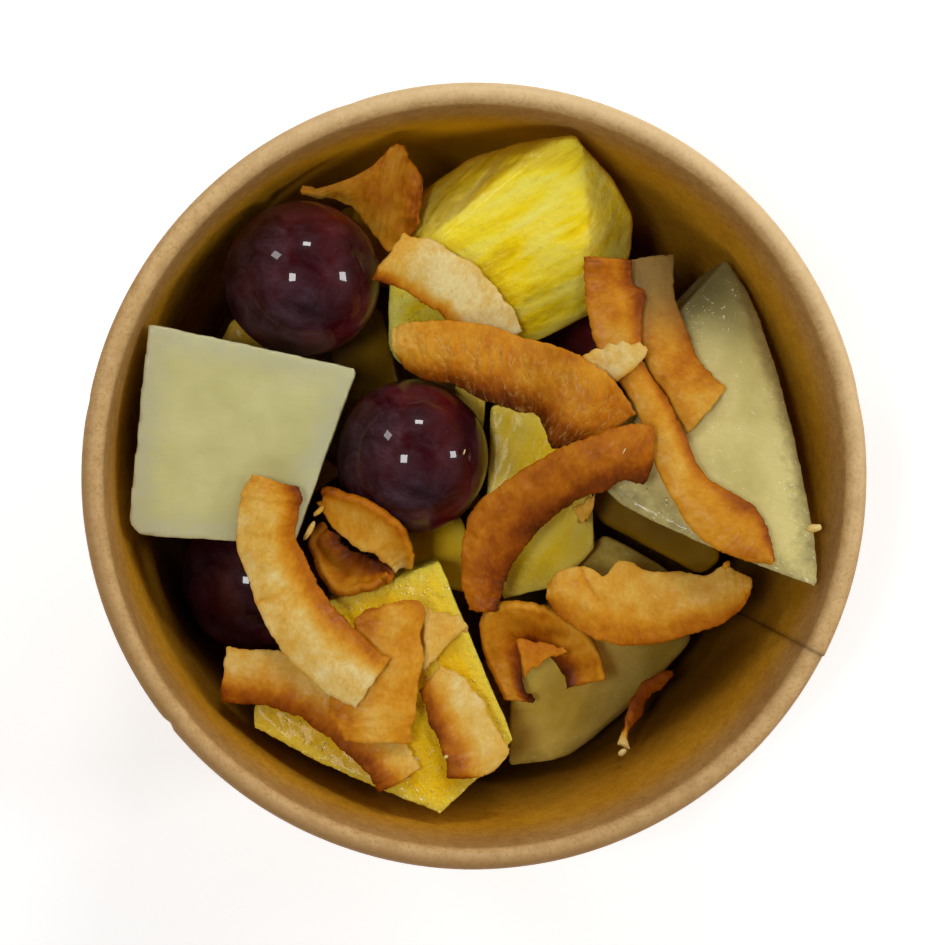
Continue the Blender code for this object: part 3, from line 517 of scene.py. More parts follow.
def build_pot():
    roll_x, roll_z = RIM_RADIUS - ROLL_RADIUS, HEIGHT - ROLL_RADIUS
    profile = [(wall_radius(FLOOR_Z - BOARD) - 6.0, FLOOR_Z - BOARD), (wall_radius(FLOOR_Z - BOARD) - 1.0, FLOOR_Z - BOARD), (wall_radius(FLOOR_Z - BOARD) - 0.4, FLOOR_Z - BOARD - 0.3)]
    profile += [(wall_radius(0.0) - 0.4, 0.4), (wall_radius(0.0) - 0.3, 0.1), (wall_radius(0.0) - 0.1, 0.0)]
    profile += [(wall_radius(0.0) + BOARD - 0.25, 0.0), (wall_radius(0.1) + BOARD - 0.05, 0.12), (wall_radius(0.4) + BOARD, 0.45)]
    for i in range(1, 30):
        z = 0.45 + (66.9 - 0.45) * i / 30
        profile.append((wall_radius(z) + BOARD, z))
    for i in range(0, 26):
        a = math.radians(-132 + (312 - 8) * i / 25)
        profile.append((roll_x + ROLL_RADIUS * math.cos(a), roll_z + ROLL_RADIUS * math.sin(a)))
    for i in range(0, 44):
        z = WALL_TOP_Z - 0.2 + (FLOOR_Z + 1.5 - WALL_TOP_Z + 0.2) * i / 43
        profile.append((wall_radius(z), z))
    profile += [(wall_radius(FLOOR_Z) - 0.25, FLOOR_Z + 0.7), (wall_radius(FLOOR_Z) - 0.8, FLOOR_Z + 0.15), (wall_radius(FLOOR_Z) - 1.6, FLOOR_Z), (wall_radius(FLOOR_Z) - 10, FLOOR_Z)]
    offsets = [0.0012, 0.004, 0.009] + [0.018 + (2 * math.pi - 0.036) * i / 297 for i in range(298)] + [2 * math.pi - x for x in (0.009, 0.004, 0.0012)]
    azimuths = [SEAM_AZIMUTH + x for x in offsets]
    around = len(azimuths)
    verts, rim, arc, drop, deep, seam, painted_front_wall_shade, painted_bounce_glow, painted_rim_shade, painted_rim_light = ([] for _ in range(10))
    run = [0.0]
    for (r0, z0), (r1, z1) in zip(profile, profile[1:]):
        run.append(run[-1] + math.hypot(r1 - r0, z1 - z0))
    top_point = max(range(len(profile)), key=lambda k: profile[k][1])
    for a in azimuths:
        turned = (a - SEAM_AZIMUTH) % (2 * math.pi)
        push = SEAM_STEP * max(0.0, 1.0 - turned / SEAM_RUN)
        for k, (r, z) in enumerate(profile):
            arc.append(a * 55.0)
            drop.append(run[k])
            # painted bounce light: 'deep' marks the inner wall below the rim for its more saturated painted colour
            deep.append(smoothstep(67.5, 58.0, z) if k > top_point else 0.0)
            top = smoothstep(60, 68, z)
            # the paper board is never quite even: soft waves in the wall and small dents along the roll
            wave = 0.10 * fbm((math.cos(a) * 2.2, math.sin(a) * 2.2, z * 0.02), 1.0, 3) * smoothstep(2, 12, z)
            ding = 0.0
            for azimuth, depth, width in ((-2.477, 0.35, 0.012), (1.9, 0.12, 0.03), (0.2, 0.1, 0.04), (2.95, 0.12, 0.02)):
                off = (a - azimuth + math.pi) % (2 * math.pi) - math.pi
                ding += depth * math.exp(-((off / width) ** 2)) * smoothstep(66.5, 68.5, z) * (1 if r > 55.2 else 0.4)
            rr = min(r + push * (0.999 if r > 40 else 0) + wave * (0.4 if top > 0.5 else 1.0) - ding, RIM_RADIUS + push)
            zz = z - 0.25 * ding if z > 66 else z
            verts.append((rr * math.cos(a) * MM, rr * math.sin(a) * MM, max(0.0, zz) * MM))
            rim.append(smoothstep(67.6, 69.6, z) * smoothstep(RIM_RADIUS - 0.1, RIM_RADIUS - 1.0, r))
            seam.append(math.exp(-min(turned, 2 * math.pi - turned) * 55.0 / 0.35))
            # painted shade: the front wall, which faces back, darkens with depth
            facing_back = smoothstep(0.35, -0.6, math.sin(a))
            painted_front_wall_shade.append((0.0 + 1.0 * facing_back) * smoothstep(60.0, 40.0, z) if k > top_point else 0.0)
            # painted light: a gold glow on the back wall, strongest near azimuth 92 degrees and below the rim
            from_back = (a - math.radians(92) + math.pi) % (2 * math.pi) - math.pi
            painted_bounce_glow.append(math.exp(-((from_back / 0.46) ** 2)) * smoothstep(63.0, 52.0, z) if k > top_point else 0.0)
            # painted light and shade on the rim's outer side, by azimuth round 62 degrees
            outer = smoothstep(RIM_RADIUS - 3.2, RIM_RADIUS - 0.8, r) * smoothstep(62.0, 67.0, z)
            toward = math.cos(a - math.radians(62))
            painted_rim_shade.append(outer * smoothstep(0.1, -0.9, toward))
            painted_rim_light.append(outer * smoothstep(0.0, 1.0, toward))
    n = len(profile)
    faces = []
    for i in range(around):
        j = (i + 1) % around
        for k in range(n - 1):
            faces.append((i * n + k, j * n + k, j * n + k + 1, i * n + k + 1))
    centre_low, centre_top = len(verts), len(verts) + 1
    verts += [(0, 0, (FLOOR_Z - BOARD) * MM), (0, 0, FLOOR_Z * MM)]
    rim += [0.0, 0.0]
    arc += [0.0, 0.0]
    drop += [0.0, 0.0]
    deep += [0.0, 1.0]
    seam += [0.0, 0.0]
    painted_front_wall_shade += [0.0, 1.0]
    painted_bounce_glow += [0.0, 0.0]
    painted_rim_shade += [0.0, 0.0]
    painted_rim_light += [0.0, 0.0]
    for i in range(around):
        j = (i + 1) % around
        faces.append((centre_low, j * n, i * n))
        faces.append((centre_top, i * n + n - 1, j * n + n - 1))
    mesh = bpy.data.meshes.new("paper_pot")
    mesh.from_pydata(verts, [], faces)
    mesh.update()
    float_attribute(mesh, "rim", rim)
    float_attribute(mesh, "arc", arc)
    float_attribute(mesh, "drop", drop)
    float_attribute(mesh, "deep", deep)
    float_attribute(mesh, "seam", seam)
    float_attribute(mesh, "painted_front_wall_shade", painted_front_wall_shade)
    float_attribute(mesh, "painted_bounce_glow", painted_bounce_glow)
    float_attribute(mesh, "painted_rim_shade", painted_rim_shade)
    float_attribute(mesh, "painted_rim_light", painted_rim_light)
    pot = add_object("paper_pot", mesh, KRAFT, "kraft_board", "bowl")
    for poly in mesh.polygons:
        poly.use_smooth = True
    return pot


build_pot()


# ---------------------------------------------------------------- grapes
def build_grape(node, bloom_side, bloom_amount, seed, blush_side=(1.0, -0.15, -0.1), blush_from=0.86, look=None):
    lo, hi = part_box(node)
    middle = (lo + hi) / 2
    radii = (hi - lo) / 2
    bm = bmesh.new()
    bmesh.ops.create_icosphere(bm, subdivisions=6, radius=1.0)
    bloom, blush = [], []
    side, pale_side = Vector(bloom_side).normalized(), Vector(blush_side).normalized()
    for v in bm.verts:
        d = v.co.normalized()
        bulge = 1.0 - 0.012 + 0.010 * fbm(d + Vector((seed, 0, 0)), 1.3, 2)
        v.co = Vector((d.x * radii.x, d.y * radii.y, d.z * radii.z)) * bulge
        blush.append(smoothstep(blush_from, 1.05, d.dot(pale_side) + 0.12 * fbm(d, 2.0, 3)))
        bloom.append(min(1.0, max(0.0, 0.25 + bloom_amount * (0.5 + 0.5 * d.dot(side)) + 0.5 * fbm(d * 1.0 + Vector((0, seed, 0)), 1.4, 3))))
    mesh = bpy.data.meshes.new(node + "_skin")
    bm.to_mesh(mesh)
    bm.free()
    float_attribute(mesh, "bloom", bloom)
    float_attribute(mesh, "blush", blush)
    made = add_object(node + "_skin", mesh, look or GRAPE, "grape_skin", node)
    made.parent = None
    made.location = middle
    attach(made, "root")
    return made


build_grape("grape_back", (-0.7, 0.3, 0.6), 0.7, 3.1)
build_grape("grape_middle", (-0.9, 0.1, 0.3), 0.8, 7.7)
build_grape("grape_left", (-0.3, 0.2, 0.8), 0.2, 12.3)
build_grape("grape_deep", (0.3, 0.2, 0.8), 0.2, 17.9, look=GRAPE_DEEP)


# ---------------------------------------------------------------- cut fruit
def build_chunk(node, look, slot, kind, fibre=(0.84, 0.54, 0.0), voxel=0.5, shade=None, rough=1.0, glass=None):
    """The CAD chunk finely meshed: cut faces with a slight wobble, softened edges, fibres for pineapple."""
    mesh = remeshed(node, voxel * COARSE, 3 if kind == "melon" else 2)
    edges = hull_edges(node)
    points = [v.co / MM for v in mesh.vertices]
    near = edge_distance(points, edges)
    along = Vector(fibre).normalized()
    shades = []
    for i, v in enumerate(mesh.vertices):
        p = points[i]
        n = v.normal.copy()
        push = -0.16 + 0.16 * fbm(p, 0.12, 3)
        if kind == "pine":
            q = p - along * p.dot(along) * 0.93
            push += 0.07 * rough * fbm(q, 0.9, 4) + 0.04 * rough * fbm(q, 2.2, 2)
            push -= 0.22 * rough * max(0.0, fbm(q + Vector((9, 3, 1)), 0.5, 3) - 0.28) * smoothstep(0.0, 3.0, near[i])
        else:
            push += 0.035 * fbm(p, 1.1, 3)
        v.co = v.co + n * push * MM
        shades.append(min(1.0, max(0.0, shade(p, n))) if shade else 0.0)
    float_attribute(mesh, "edge", near)
    float_attribute(mesh, "shade", shades)
    float_attribute(mesh, "glass", [min(1.0, max(0.0, glass(p))) if glass else 0.6 for p in points])
    return add_object(node + "_flesh", mesh, look, slot, node)


def top_face_shade(start, end, amount=1.0):
    return lambda p, n: amount * smoothstep(start, end, 1.0 - n.z)


build_chunk("melon_left", MELON, "melon_flesh", "melon", shade=lambda p, n: 0.30 * smoothstep(0.3, 1.0, 1 - n.z))
TIP_X, TIP_Y = 36.0, 31.6  # the tip of the right-hand wedge, darkened by painted shade
build_chunk("melon_right", MELON_RIGHT, "melon_flesh", "melon", shade=lambda p, n: max(0.9 * smoothstep(16.0, 2.0, math.hypot(p.x - TIP_X, p.y - TIP_Y)), 0.4 * smoothstep(0.3, 1.0, 1 - n.z)))
build_chunk("melon_front", MELON_FRONT, "melon_flesh", "melon", shade=lambda p, n: max(0.9 * smoothstep(43.0, 34.0, p.z), 0.35 * smoothstep(12.0, 30.0, p.x)))
build_chunk("melon_side", SHADED, "melon_flesh", "melon", shade=lambda p, n: 0.35)
build_chunk("melon_low", MELON_LOW, "melon_flesh", "melon", shade=lambda p, n: 0.0)
build_chunk("melon_notch", SHADED, "melon_flesh", "melon", shade=lambda p, n: 0.6)
build_chunk("pineapple_back", PINE_BACK, "pineapple_flesh", "pine", voxel=0.42, shade=lambda p, n: max(0.75 * smoothstep(0.05, 0.5, n.y), 0.55 * smoothstep(0.35, 0.8, n.x)), glass=lambda p: 0.25 + 0.75 * smoothstep(-4, -12, p.x) * smoothstep(32, 22, p.y))
build_chunk("pineapple_front", PINE_FRONT, "pineapple_flesh", "pine", fibre=(0.53, -0.85, 0), voxel=0.42, glass=lambda p: 1.0)
build_chunk("pineapple_middle", PINE_MID, "pineapple_flesh", "pine", fibre=(0.34, 0.94, 0), voxel=0.45, glass=lambda p: 0.5)
build_chunk("pineapple_low", PINE_MID, "pineapple_flesh", "pine", fibre=(0.34, 0.94, 0), voxel=0.45, glass=lambda p: 0.4, shade=lambda p, n: 0.15)
build_chunk("pineapple_small", PINE_MID, "pineapple_flesh", "pine", fibre=(1, 0.3, 0), voxel=0.45, shade=lambda p, n: 0.6)


# ---------------------------------------------------------------- coconut chips
def at(u, v, z):
    k = (APEX.z - z) / (APEX.z - HEIGHT)
    return Vector((APEX.x + (u - APEX.x) * k, APEX.y + (v - APEX.y) * k, z))


GAP, CHIP_THICK, CHIP_STATIONS, CHIP_ACROSS, CHIP_RAG, DRAPE_SLOPE = 0.35, 1.4, 12, 3, 0.3, 0.22
TOAST = (
    (0.0, srgb(236, 216, 150)),
    (0.1, srgb(228, 194, 110)),
    (0.2, srgb(224, 178, 76)),
    (0.4, srgb(214, 146, 28)),
    (0.6, srgb(186, 106, 4)),
    (0.8, srgb(138, 64, 0)),
    (1.0, srgb(80, 32, 0)),
)


def smooth_path(points, t):
    n = len(points) - 1
    place = min(t * n, n - 1e-9)
    i = int(place)
    f = place - i
    p1, p2 = points[i], points[i + 1]
    p0 = points[i - 1] if i > 0 else tuple(2 * a - b for a, b in zip(p1, p2))
    p3 = points[i + 2] if i + 2 <= n else tuple(2 * b - a for a, b in zip(p1, p2))
    return tuple(
        0.5 * (2 * b + (c - a) * f + (2 * a - 5 * b + 4 * c - d) * f * f + (3 * b - a - 3 * c + d) * f**3)
        for a, b, c, d in zip(p0, p1, p2, p3)
    )


def edges_of_arc(stations):
    left, right = [], []
    for i, (u, v, z, width, roll) in enumerate(stations):
        before, after = stations[max(i - 1, 0)], stations[min(i + 1, len(stations) - 1)]
        run = Vector((after[0] - before[0], after[1] - before[1])).normalized()
        side = Vector((-run.y, run.x)) * (width / 2)
        rise = math.sin(math.radians(roll)) * width / 2
        flat = math.cos(math.radians(roll))
        left.append((u + side.x * flat, v + side.y * flat, z + rise))
        right.append((u - side.x * flat, v - side.y * flat, z - rise))
    return left, right


def mix4(a, b, t):
    t = min(1.0, max(0.0, t))
    return tuple(x + (y - x) * t for x, y in zip(a, b))


def toast_colour(level):
    """0 raw cream, 1 burnt."""
    for (a, ca), (b, cb) in zip(TOAST, TOAST[1:]):
        if level <= b:
            return mix4(ca, cb, (level - a) / (b - a))
    return TOAST[-1][1]


settled = []  # CAD nodes a later chip may rest on
SETTLE_FIRST = ["grape_deep", "grape_left", "melon_notch", "melon_low", "pineapple_low", "melon_side", "pineapple_small", "pineapple_middle", "melon_front", "pineapple_front", "grape_back", "grape_middle", "pineapple_back", "melon_right", "melon_left"]


def ground_tree(names):
    points, faces = [], []
    for name in names:
        start = len(points)
        data = NODES[name].data
        points += [v.co / MM for v in data.vertices]
        faces += [[start + i for i in face.vertices] for face in data.polygons]
    return BVHTree.FromPolygons(points, faces)


settled += SETTLE_FIRST


def chip_rows(name, left, right, camber, thick, rag):
    """The chip's stations, settled on what lies under it exactly as its solid is."""
    dice = random.Random(name)
    n, m = CHIP_STATIONS, CHIP_ACROSS
    rows = []
    for i in range(n):
        t = i / (n - 1)
        a, b = at(*smooth_path(left, t)), at(*smooth_path(right, t))
        across = b - a
        if 0 < i < n - 1:
            a = a - across.normalized() * dice.uniform(-rag, rag)
            b = b + across.normalized() * dice.uniform(-rag, rag)
        rows.append([a.lerp(b, j / m) for j in range(m + 1)])
    normals = []
    for i in range(n):
        along = rows[min(i + 1, n - 1)][1] - rows[max(i - 1, 0)][1]
        normal = (rows[i][m] - rows[i][0]).cross(along)
        normals.append(normal.normalized() if normal.z > 0 or abs(normal.z) < 1e-6 else -normal.normalized())
    for i in range(n):
        for j in range(m + 1):
            s = 2 * j / m - 1
            rows[i][j] = rows[i][j] + normals[i] * camber * (1 - s * s)
    ground = ground_tree(settled)
    lift = [0.0] * n
    fine = 4
    for i in range((n - 1) * fine + 1):
        i0 = min(i // fine, n - 2)
        f = i / fine - i0
        for j in range(m * fine + 1):
            j0 = min(j // fine, m - 1)
            g = j / fine - j0
            spot = rows[i0][j0].lerp(rows[i0][j0 + 1], g).lerp(rows[i0 + 1][j0].lerp(rows[i0 + 1][j0 + 1], g), f)
            spot = spot - normals[i0].lerp(normals[i0 + 1], f) * thick
            hit = ground.ray_cast(Vector((spot.x, spot.y, 200.0)), Vector((0, 0, -1)))[0]
            if hit is not None:
                need = hit.z + GAP - spot.z
                for k in range(n):
                    if abs(k - i / fine) < 1:
                        lift[k] = max(lift[k], need)
    pitch = [0.0]
    for i in range(1, n):
        pitch.append(pitch[-1] + (rows[i][1] - rows[i - 1][1]).length)
    eased = [max(lift[k] - DRAPE_SLOPE * abs(pitch[k] - pitch[i]) for k in range(n)) for i in range(n)]
    for i in range(n):
        for j in range(m + 1):
            rows[i][j].z += eased[i]
    settled.append(name)
    return rows


def build_chip(name, left, right, paint, camber=0.8, thick=CHIP_THICK, rag=CHIP_RAG, wrinkle=0.15, ragged=0.35, ends=0.25, pitted=0.0, crack=None, crackle=0.0, painted_shade_veil=None):
    """The chip as a fine slab: smooth through its stations, thinner and uneven at the edges, crinkled, and toasted by paint(t, s, p)."""
    rows = chip_rows(name, left, right, camber, thick, rag)
    n, m = CHIP_STATIONS, CHIP_ACROSS
    length = sum((rows[i + 1][1] - rows[i][1]).length for i in range(n - 1))
    width = sum((rows[i][m] - rows[i][0]).length for i in range(n)) / n
    nl, nw = max(24, int(length / (0.3 * COARSE))), max(12, int(width / (0.3 * COARSE)))
    seed = sum(ord(c) for c in name) * 0.37
    packed = [tuple(c for p in row for c in p) for row in rows]
    upper, lower, colours = [], [], []
    grid = []
    for i in range(nl + 1):
        t = i / nl
        flat = smooth_path(packed, t)
        cross = [tuple(flat[3 * j : 3 * j + 3]) for j in range(m + 1)]
        line = []
        for j in range(nw + 1):
            s = j / nw
            line.append(Vector(smooth_path(cross, s)))
        # uneven cut edges: pull both sides in and out a little
        across = (line[-1] - line[0]).normalized()
        for side in (0, 1):
            p = line[0] if side == 0 else line[-1]
            nick = ragged * (0.55 * fbm((t * length * 0.35, seed + side * 31.0, 1.0), 1.0, 3) + 0.45 * fbm((t * length * 1.6, seed + side * 57.0, 2.0), 1.0, 3)) - 0.12
            shift = across * nick * (-1 if side == 0 else 1)
            for j in range(nw + 1):
                s = j / nw
                w = (1 - s if side == 0 else s) ** 3
                line[j] = line[j] + shift * w
        grid.append(line)
    # uneven ends
    for end in (0, 1):
        for j in range(nw + 1):
            s = j / nw
            p, q = (grid[0][j], grid[6][j]) if end == 0 else (grid[-1][j], grid[-7][j])
            run = (p - q).normalized()
            nick = ends * (0.8 * fbm((s * width * 0.4, seed + 90 + end * 13.0, 3.0), 1.0, 3) + 0.5 * fbm((s * width * 1.7, seed + 71 + end * 17.0, 4.0), 1.0, 2)) - 0.15
            for i in range(8):
                k = i if end == 0 else nl - i
                grid[k][j] = grid[k][j] + run * nick * (1 - i / 8) ** 1.5
    normals = []
    for i in range(nl + 1):
        row = []
        for j in range(nw + 1):
            du = grid[min(i + 1, nl)][j] - grid[max(i - 1, 0)][j]
            dv = grid[i][min(j + 1, nw)] - grid[i][max(j - 1, 0)]
            nrm = dv.cross(du).normalized()
            row.append(nrm)
        normals.append(row)
    flip = sum(r[nw // 2].z for r in normals) < 0
    verts, paints, runs, crosses = [], [], [], []

    def tinted(level, t):
        """The toasting colour, turning to a painted shade colour over part of the length."""
        colour = toast_colour(min(1.0, max(0.0, level)))
        return mix4(colour, painted_shade_veil[0], painted_shade_veil[3] * smoothstep(painted_shade_veil[2], painted_shade_veil[1], t)) if painted_shade_veil else colour

    for layer in (0, 1):
        for i in range(nl + 1):
            t = i / nl
            for j in range(nw + 1):
                s = j / nw
                nrm = -normals[i][j] if flip else normals[i][j]
                p = grid[i][j]
                edge = min(s * width, (1 - s) * width, t * length, (1 - t) * length)
                body = thick * (0.80 + 0.20 * smoothstep(0.0, 0.4, edge))
                mid = p - nrm * thick * 0.5
                crinkle = wrinkle * (fbm((p.x, p.y, seed), 0.35, 3) + 0.6 * fbm((t * length * 0.8, s * width * 0.12, seed), 1.0, 3))
                dent = 0.03 * fbm((p.x, p.y, p.z + seed), 1.8, 2)
                if pitted and layer == 0:
                    # short cracks across the strip, as on a dried rind
                    q = (t * length * 0.75 + 0.8 * fbm((p.x, p.y, seed), 0.5, 2), s * width * 0.28, seed)
                    dent -= pitted * max(0.0, fbm(q, 1.0, 3) + 0.05) * smoothstep(0.0, 0.12, s) * smoothstep(1.0, 0.9, s)
                split = 0.0
                if crack and layer == 0:
                    # a split where one lobe lies a little lower than the other
                    (u0, v0), (u1, v1) = crack
                    reach = Vector((u1 - u0, v1 - v0))
                    off = Vector((p.x - u0, p.y - v0))
                    share = off.dot(reach) / reach.length_squared
                    away = (reach.x * off.y - reach.y * off.x) / reach.length + 0.5 * math.sin(share * 3.1)
                    if share < 1.08:
                        fade = smoothstep(1.08, 0.85, share)
                        split = fade * (math.exp(-abs(away) / 0.9) if away < 0 else math.exp(-away / 0.12))
                        dent -= 0.34 * split
                spot = mid + nrm * (crinkle + (0.5 * body + dent if layer == 0 else -0.5 * body + dent * 0.5))
                verts.append(spot * MM)
                runs.append(t * length)
                crosses.append(s * width)
                # painted shade: 0.22 * split ** 2 browns the colour along the split, as shade in the crease
                paints.append(tinted(paint(t, s, p) + 0.22 * split ** 2 + 0.12 * fbm((p.x, p.y, seed), 0.3, 4) + 0.06 * fbm((p.x, p.y, seed), 2.0, 2) + (0.06 if layer else 0.0), t))
    row_len = nw + 1
    size = (nl + 1) * row_len
    faces = []
    for i in range(nl):
        for j in range(nw):
            a, b, c, d = i * row_len + j, (i + 1) * row_len + j, (i + 1) * row_len + j + 1, i * row_len + j + 1
            faces.append((a, b, c, d) if flip else (a, d, c, b))
            faces.append(tuple(reversed([x + size for x in ((a, b, c, d) if flip else (a, d, c, b))])))
    ring = [i * row_len for i in range(nl + 1)] + [nl * row_len + j for j in range(1, nw + 1)] + [i * row_len + nw for i in range(nl - 1, -1, -1)] + [j for j in range(nw - 1, 0, -1)]
    # the cut side, with one more loop so that it is rounded
    loop_start = len(verts)
    for k in ring:
        a, b = Vector(verts[k]), Vector(verts[k + size])
        i, j = divmod(k, row_len)
        inner = Vector(grid[min(max(i, 1), nl - 1)][min(max(j, 1), nw - 1)]) * MM
        out = (Vector(grid[i][j]) * MM - inner)
        out = out.normalized() * 0.07 * MM if out.length > 0 else out
        verts.append((a + b) / 2 + out)
        runs.append(i / nl * length)
        crosses.append(j / nw * width)
        paints.append(tinted(paint(i / nl, j / nw, grid[i][j]) + 0.12 * fbm(grid[i][j], 0.9, 3), i / nl))
    count = len(ring)
    for k in range(count):
        a, b = ring[k], ring[(k + 1) % count]
        c, d = loop_start + k, loop_start + (k + 1) % count
        faces.append((a, b, d, c))
        faces.append((c, d, b + size, a + size))
    mesh = bpy.data.meshes.new(name + "_toasted")
    mesh.from_pydata([tuple(v) for v in verts], [], faces)
    mesh.update()
    bm = bmesh.new()
    bm.from_mesh(mesh)
    bmesh.ops.recalc_face_normals(bm, faces=bm.faces)
    bm.to_mesh(mesh)
    bm.free()
    colour_attribute(mesh, "toast", paints)
    float_attribute(mesh, "run", runs)
    float_attribute(mesh, "across", crosses)
    float_attribute(mesh, "crackle", [crackle * smoothstep(0.04, 0.2, x / width) * smoothstep(0.0, 0.25, r / length) for r, x in zip(runs, crosses)])
    return add_object(name + "_toasted", mesh, COCONUT_CRACKLED if crackle else COCONUT, "coconut_toasted", name)


def arc_chip(name, stations, paint, **more):
    left, right = edges_of_arc(stations)
    return build_chip(name, left, right, paint, **more)


def band(level, low_s=0.0, high_s=0.0, start=0.0, end=0.0, reach=0.28):
    """A toasting pattern: an even level, browner along s = 0, s = 1, and toward either end."""

    def paint(t, s, p):
        out = level
        out += low_s * smoothstep(reach, 0.0, s)
        out += high_s * smoothstep(1 - reach, 1.0, s)
        out += start * smoothstep(0.3, 0.0, t)
        out += end * smoothstep(0.7, 1.0, t)
        return out

    return paint


build_chip("chip_01", [(-25.9, 42.0, 54), (-21.0, 42.7, 55.5), (-16.5, 44.6, 56.5), (-13.8, 46.8, 57), (-12.8, 48.2, 57.5), (-11.6, 47.8, 57.5), (-10.9, 46.1, 57.5), (-9.0, 44.5, 58), (-8.5, 42.8, 58)], [(-25.6, 40.8, 53.5), (-22.7, 40.4, 53.5), (-20.0, 39.7, 53), (-17.7, 38.0, 52.5), (-16.0, 35.7, 52), (-14.5, 33.5, 52), (-12.7, 32.8, 52.5), (-10.6, 34.6, 54), (-8.9, 36.6, 56)], band(0.50, high_s=-0.1, start=-0.15, end=0.22, reach=0.5), wrinkle=0.35, camber=0.6)
build_chip("chip_10b", [(-21.8, -7.1, 53), (-23.4, -8.4, 53.5), (-23.7, -10.0, 53.5), (-23.3, -11.9, 53.5), (-22.3, -14.1, 53.5), (-20.8, -15.8, 54), (-18.8, -15.8, 54.5), (-16.9, -15.1, 55), (-15.2, -14.2, 55.5), (-13.7, -13.2, 56)], [(-20.5, -8.0, 52), (-20.3, -9.0, 51.5), (-19.5, -9.7, 51.5), (-18.8, -10.2, 51.5), (-17.9, -10.6, 51.5), (-17.1, -10.9, 52), (-16.2, -11.2, 52.5), (-15.3, -11.6, 53), (-14.3, -12.1, 54), (-13.4, -12.6, 55)], band(0.52, high_s=0.42, reach=0.6), wrinkle=0.2, camber=-1.2)
build_chip("chip_10", [(-23.0, -2.2, 58.5), (-22.0, -1.7, 59.5), (-20.1, -2.3, 60), (-17.8, -3.2, 60.5), (-15.8, -3.6, 60.5), (-13.7, -5.1, 60.5), (-12.1, -7.0, 60), (-10.8, -8.6, 59.5), (-10.0, -10.3, 58.5), (-10.0, -11.8, 57.5), (-10.8, -13.0, 57)], [(-23.1, -3.6, 57.5), (-22.4, -5.2, 57), (-21.4, -6.9, 57), (-19.7, -8.5, 57), (-17.9, -9.9, 57), (-16.3, -10.6, 57), (-15.3, -10.7, 57), (-14.3, -11.6, 57), (-13.3, -12.5, 57), (-12.7, -13.2, 56.8), (-12.0, -13.7, 56.8)], band(0.32, low_s=0.24, start=0.22, end=-0.20, reach=0.45), wrinkle=0.25, camber=-0.5)
arc_chip("chip_11", [(-37.2, -28.3, 57, 8.5, 0), (-29.0, -29.1, 59, 8.8, 0), (-22.9, -32.1, 60, 8.2, 0), (-18.3, -35.5, 60.5, 8.3, 0), (-14.1, -39.6, 61, 8.0, 0), (-11.6, -44.2, 61, 7.4, 0)], band(0.18, high_s=0.58, end=0.06, reach=0.75), wrinkle=0.12)
build_chip("chip_14", [(-5.7, -27.0, 60), (-2.5, -28.8, 60), (0.1, -31.7, 60), (2.1, -35.0, 60.3), (3.8, -38.7, 60.5), (4.1, -40.7, 60.5), (2.1, -42.8, 60.3)], [(-9.0, -30.8, 59.5), (-8.1, -34.0, 59.5), (-6.9, -36.6, 59.7), (-5.8, -38.8, 60), (-4.9, -41.3, 60), (-4.6, -43.6, 60), (-1.4, -43.7, 60)], band(0.15, high_s=0.62, reach=0.75), wrinkle=0.1, camber=0.7)
build_chip("chip_13", [(-8.2, -18.5, 59.5), (-6.3, -19.1, 59), (-2.7, -19.9, 59), (-1.7, -21.2, 58.5)], [(-8.2, -28.1, 61), (-6.9, -27.0, 60.5), (-4.9, -24.7, 60), (-1.9, -21.8, 58.7)], band(0.20), wrinkle=0.08, camber=0.4)
build_chip("chip_12", [(-16.4, -18.7, 62), (-18.5, -20.8, 62), (-18.8, -24.8, 62), (-22.2, -32.7, 61.5), (-21.3, -35.3, 61.7), (-19.9, -38.3, 62)], [(-11.6, -17.6, 62), (-8.2, -18.1, 62), (-8.2, -23.5, 62.3), (-8.5, -28.1, 62.5), (-9.2, -33.4, 62.5), (-9.8, -38.7, 62.5)], band(0.34, low_s=0.16, high_s=0.12, start=0.18, end=0.0, reach=0.5), wrinkle=0.2, camber=1.0)
arc_chip("chip_09", [(-29.5, -0.1, 62.3, 7.3, 0), (-30.3, -3.0, 62.3, 8.8, 0), (-30.8, -8.1, 62.3, 8.8, 0), (-28.8, -15.0, 61.5, 9.6, 0), (-25.2, -21.2, 62, 9.9, 0), (-19.6, -26.7, 63.5, 9.9, 0), (-15.4, -29.7, 64.5, 9.3, 0)], band(0.15, low_s=0.50, start=0.24, end=-0.08, reach=0.55), wrinkle=0.12, crack=((-32.7, -18.5), (-27.2, -15.5)), camber=1.0)
build_chip("chip_15", [(4.2, -32.4, 51), (2.7, -29.7, 51.5), (1.4, -25.7, 52.5), (0.7, -22.7, 53.5), (1.1, -20.0, 54.5), (3.8, -18.7, 55), (7.7, -18.9, 55.5), (11.5, -20.4, 55.5), (14.8, -22.6, 55), (17.1, -26.0, 54.5), (18.2, -29.8, 53.5)], [(8.0, -33.3, 51), (7.0, -31.6, 51), (6.5, -28.9, 50.5), (6.2, -25.9, 50.5), (7.3, -24.8, 50.5), (8.7, -25.1, 50.5), (10.2, -26.0, 50.5), (11.2, -27.1, 50.5), (12.0, -28.3, 50.5), (12.4, -29.5, 51), (12.7, -31.0, 51.5)], band(0.42, high_s=0.56, reach=0.6), wrinkle=0.25, camber=-0.5)
build_chip("chip_16", [(5.2, -23.4, 56), (7.6, -23.6, 56), (10.9, -24.4, 56), (13.0, -25.2, 56)], [(6.7, -29.4, 56), (7.6, -28.3, 56), (10.1, -26.5, 56), (12.7, -25.7, 56)], band(0.58), wrinkle=0.08, camber=0.2)
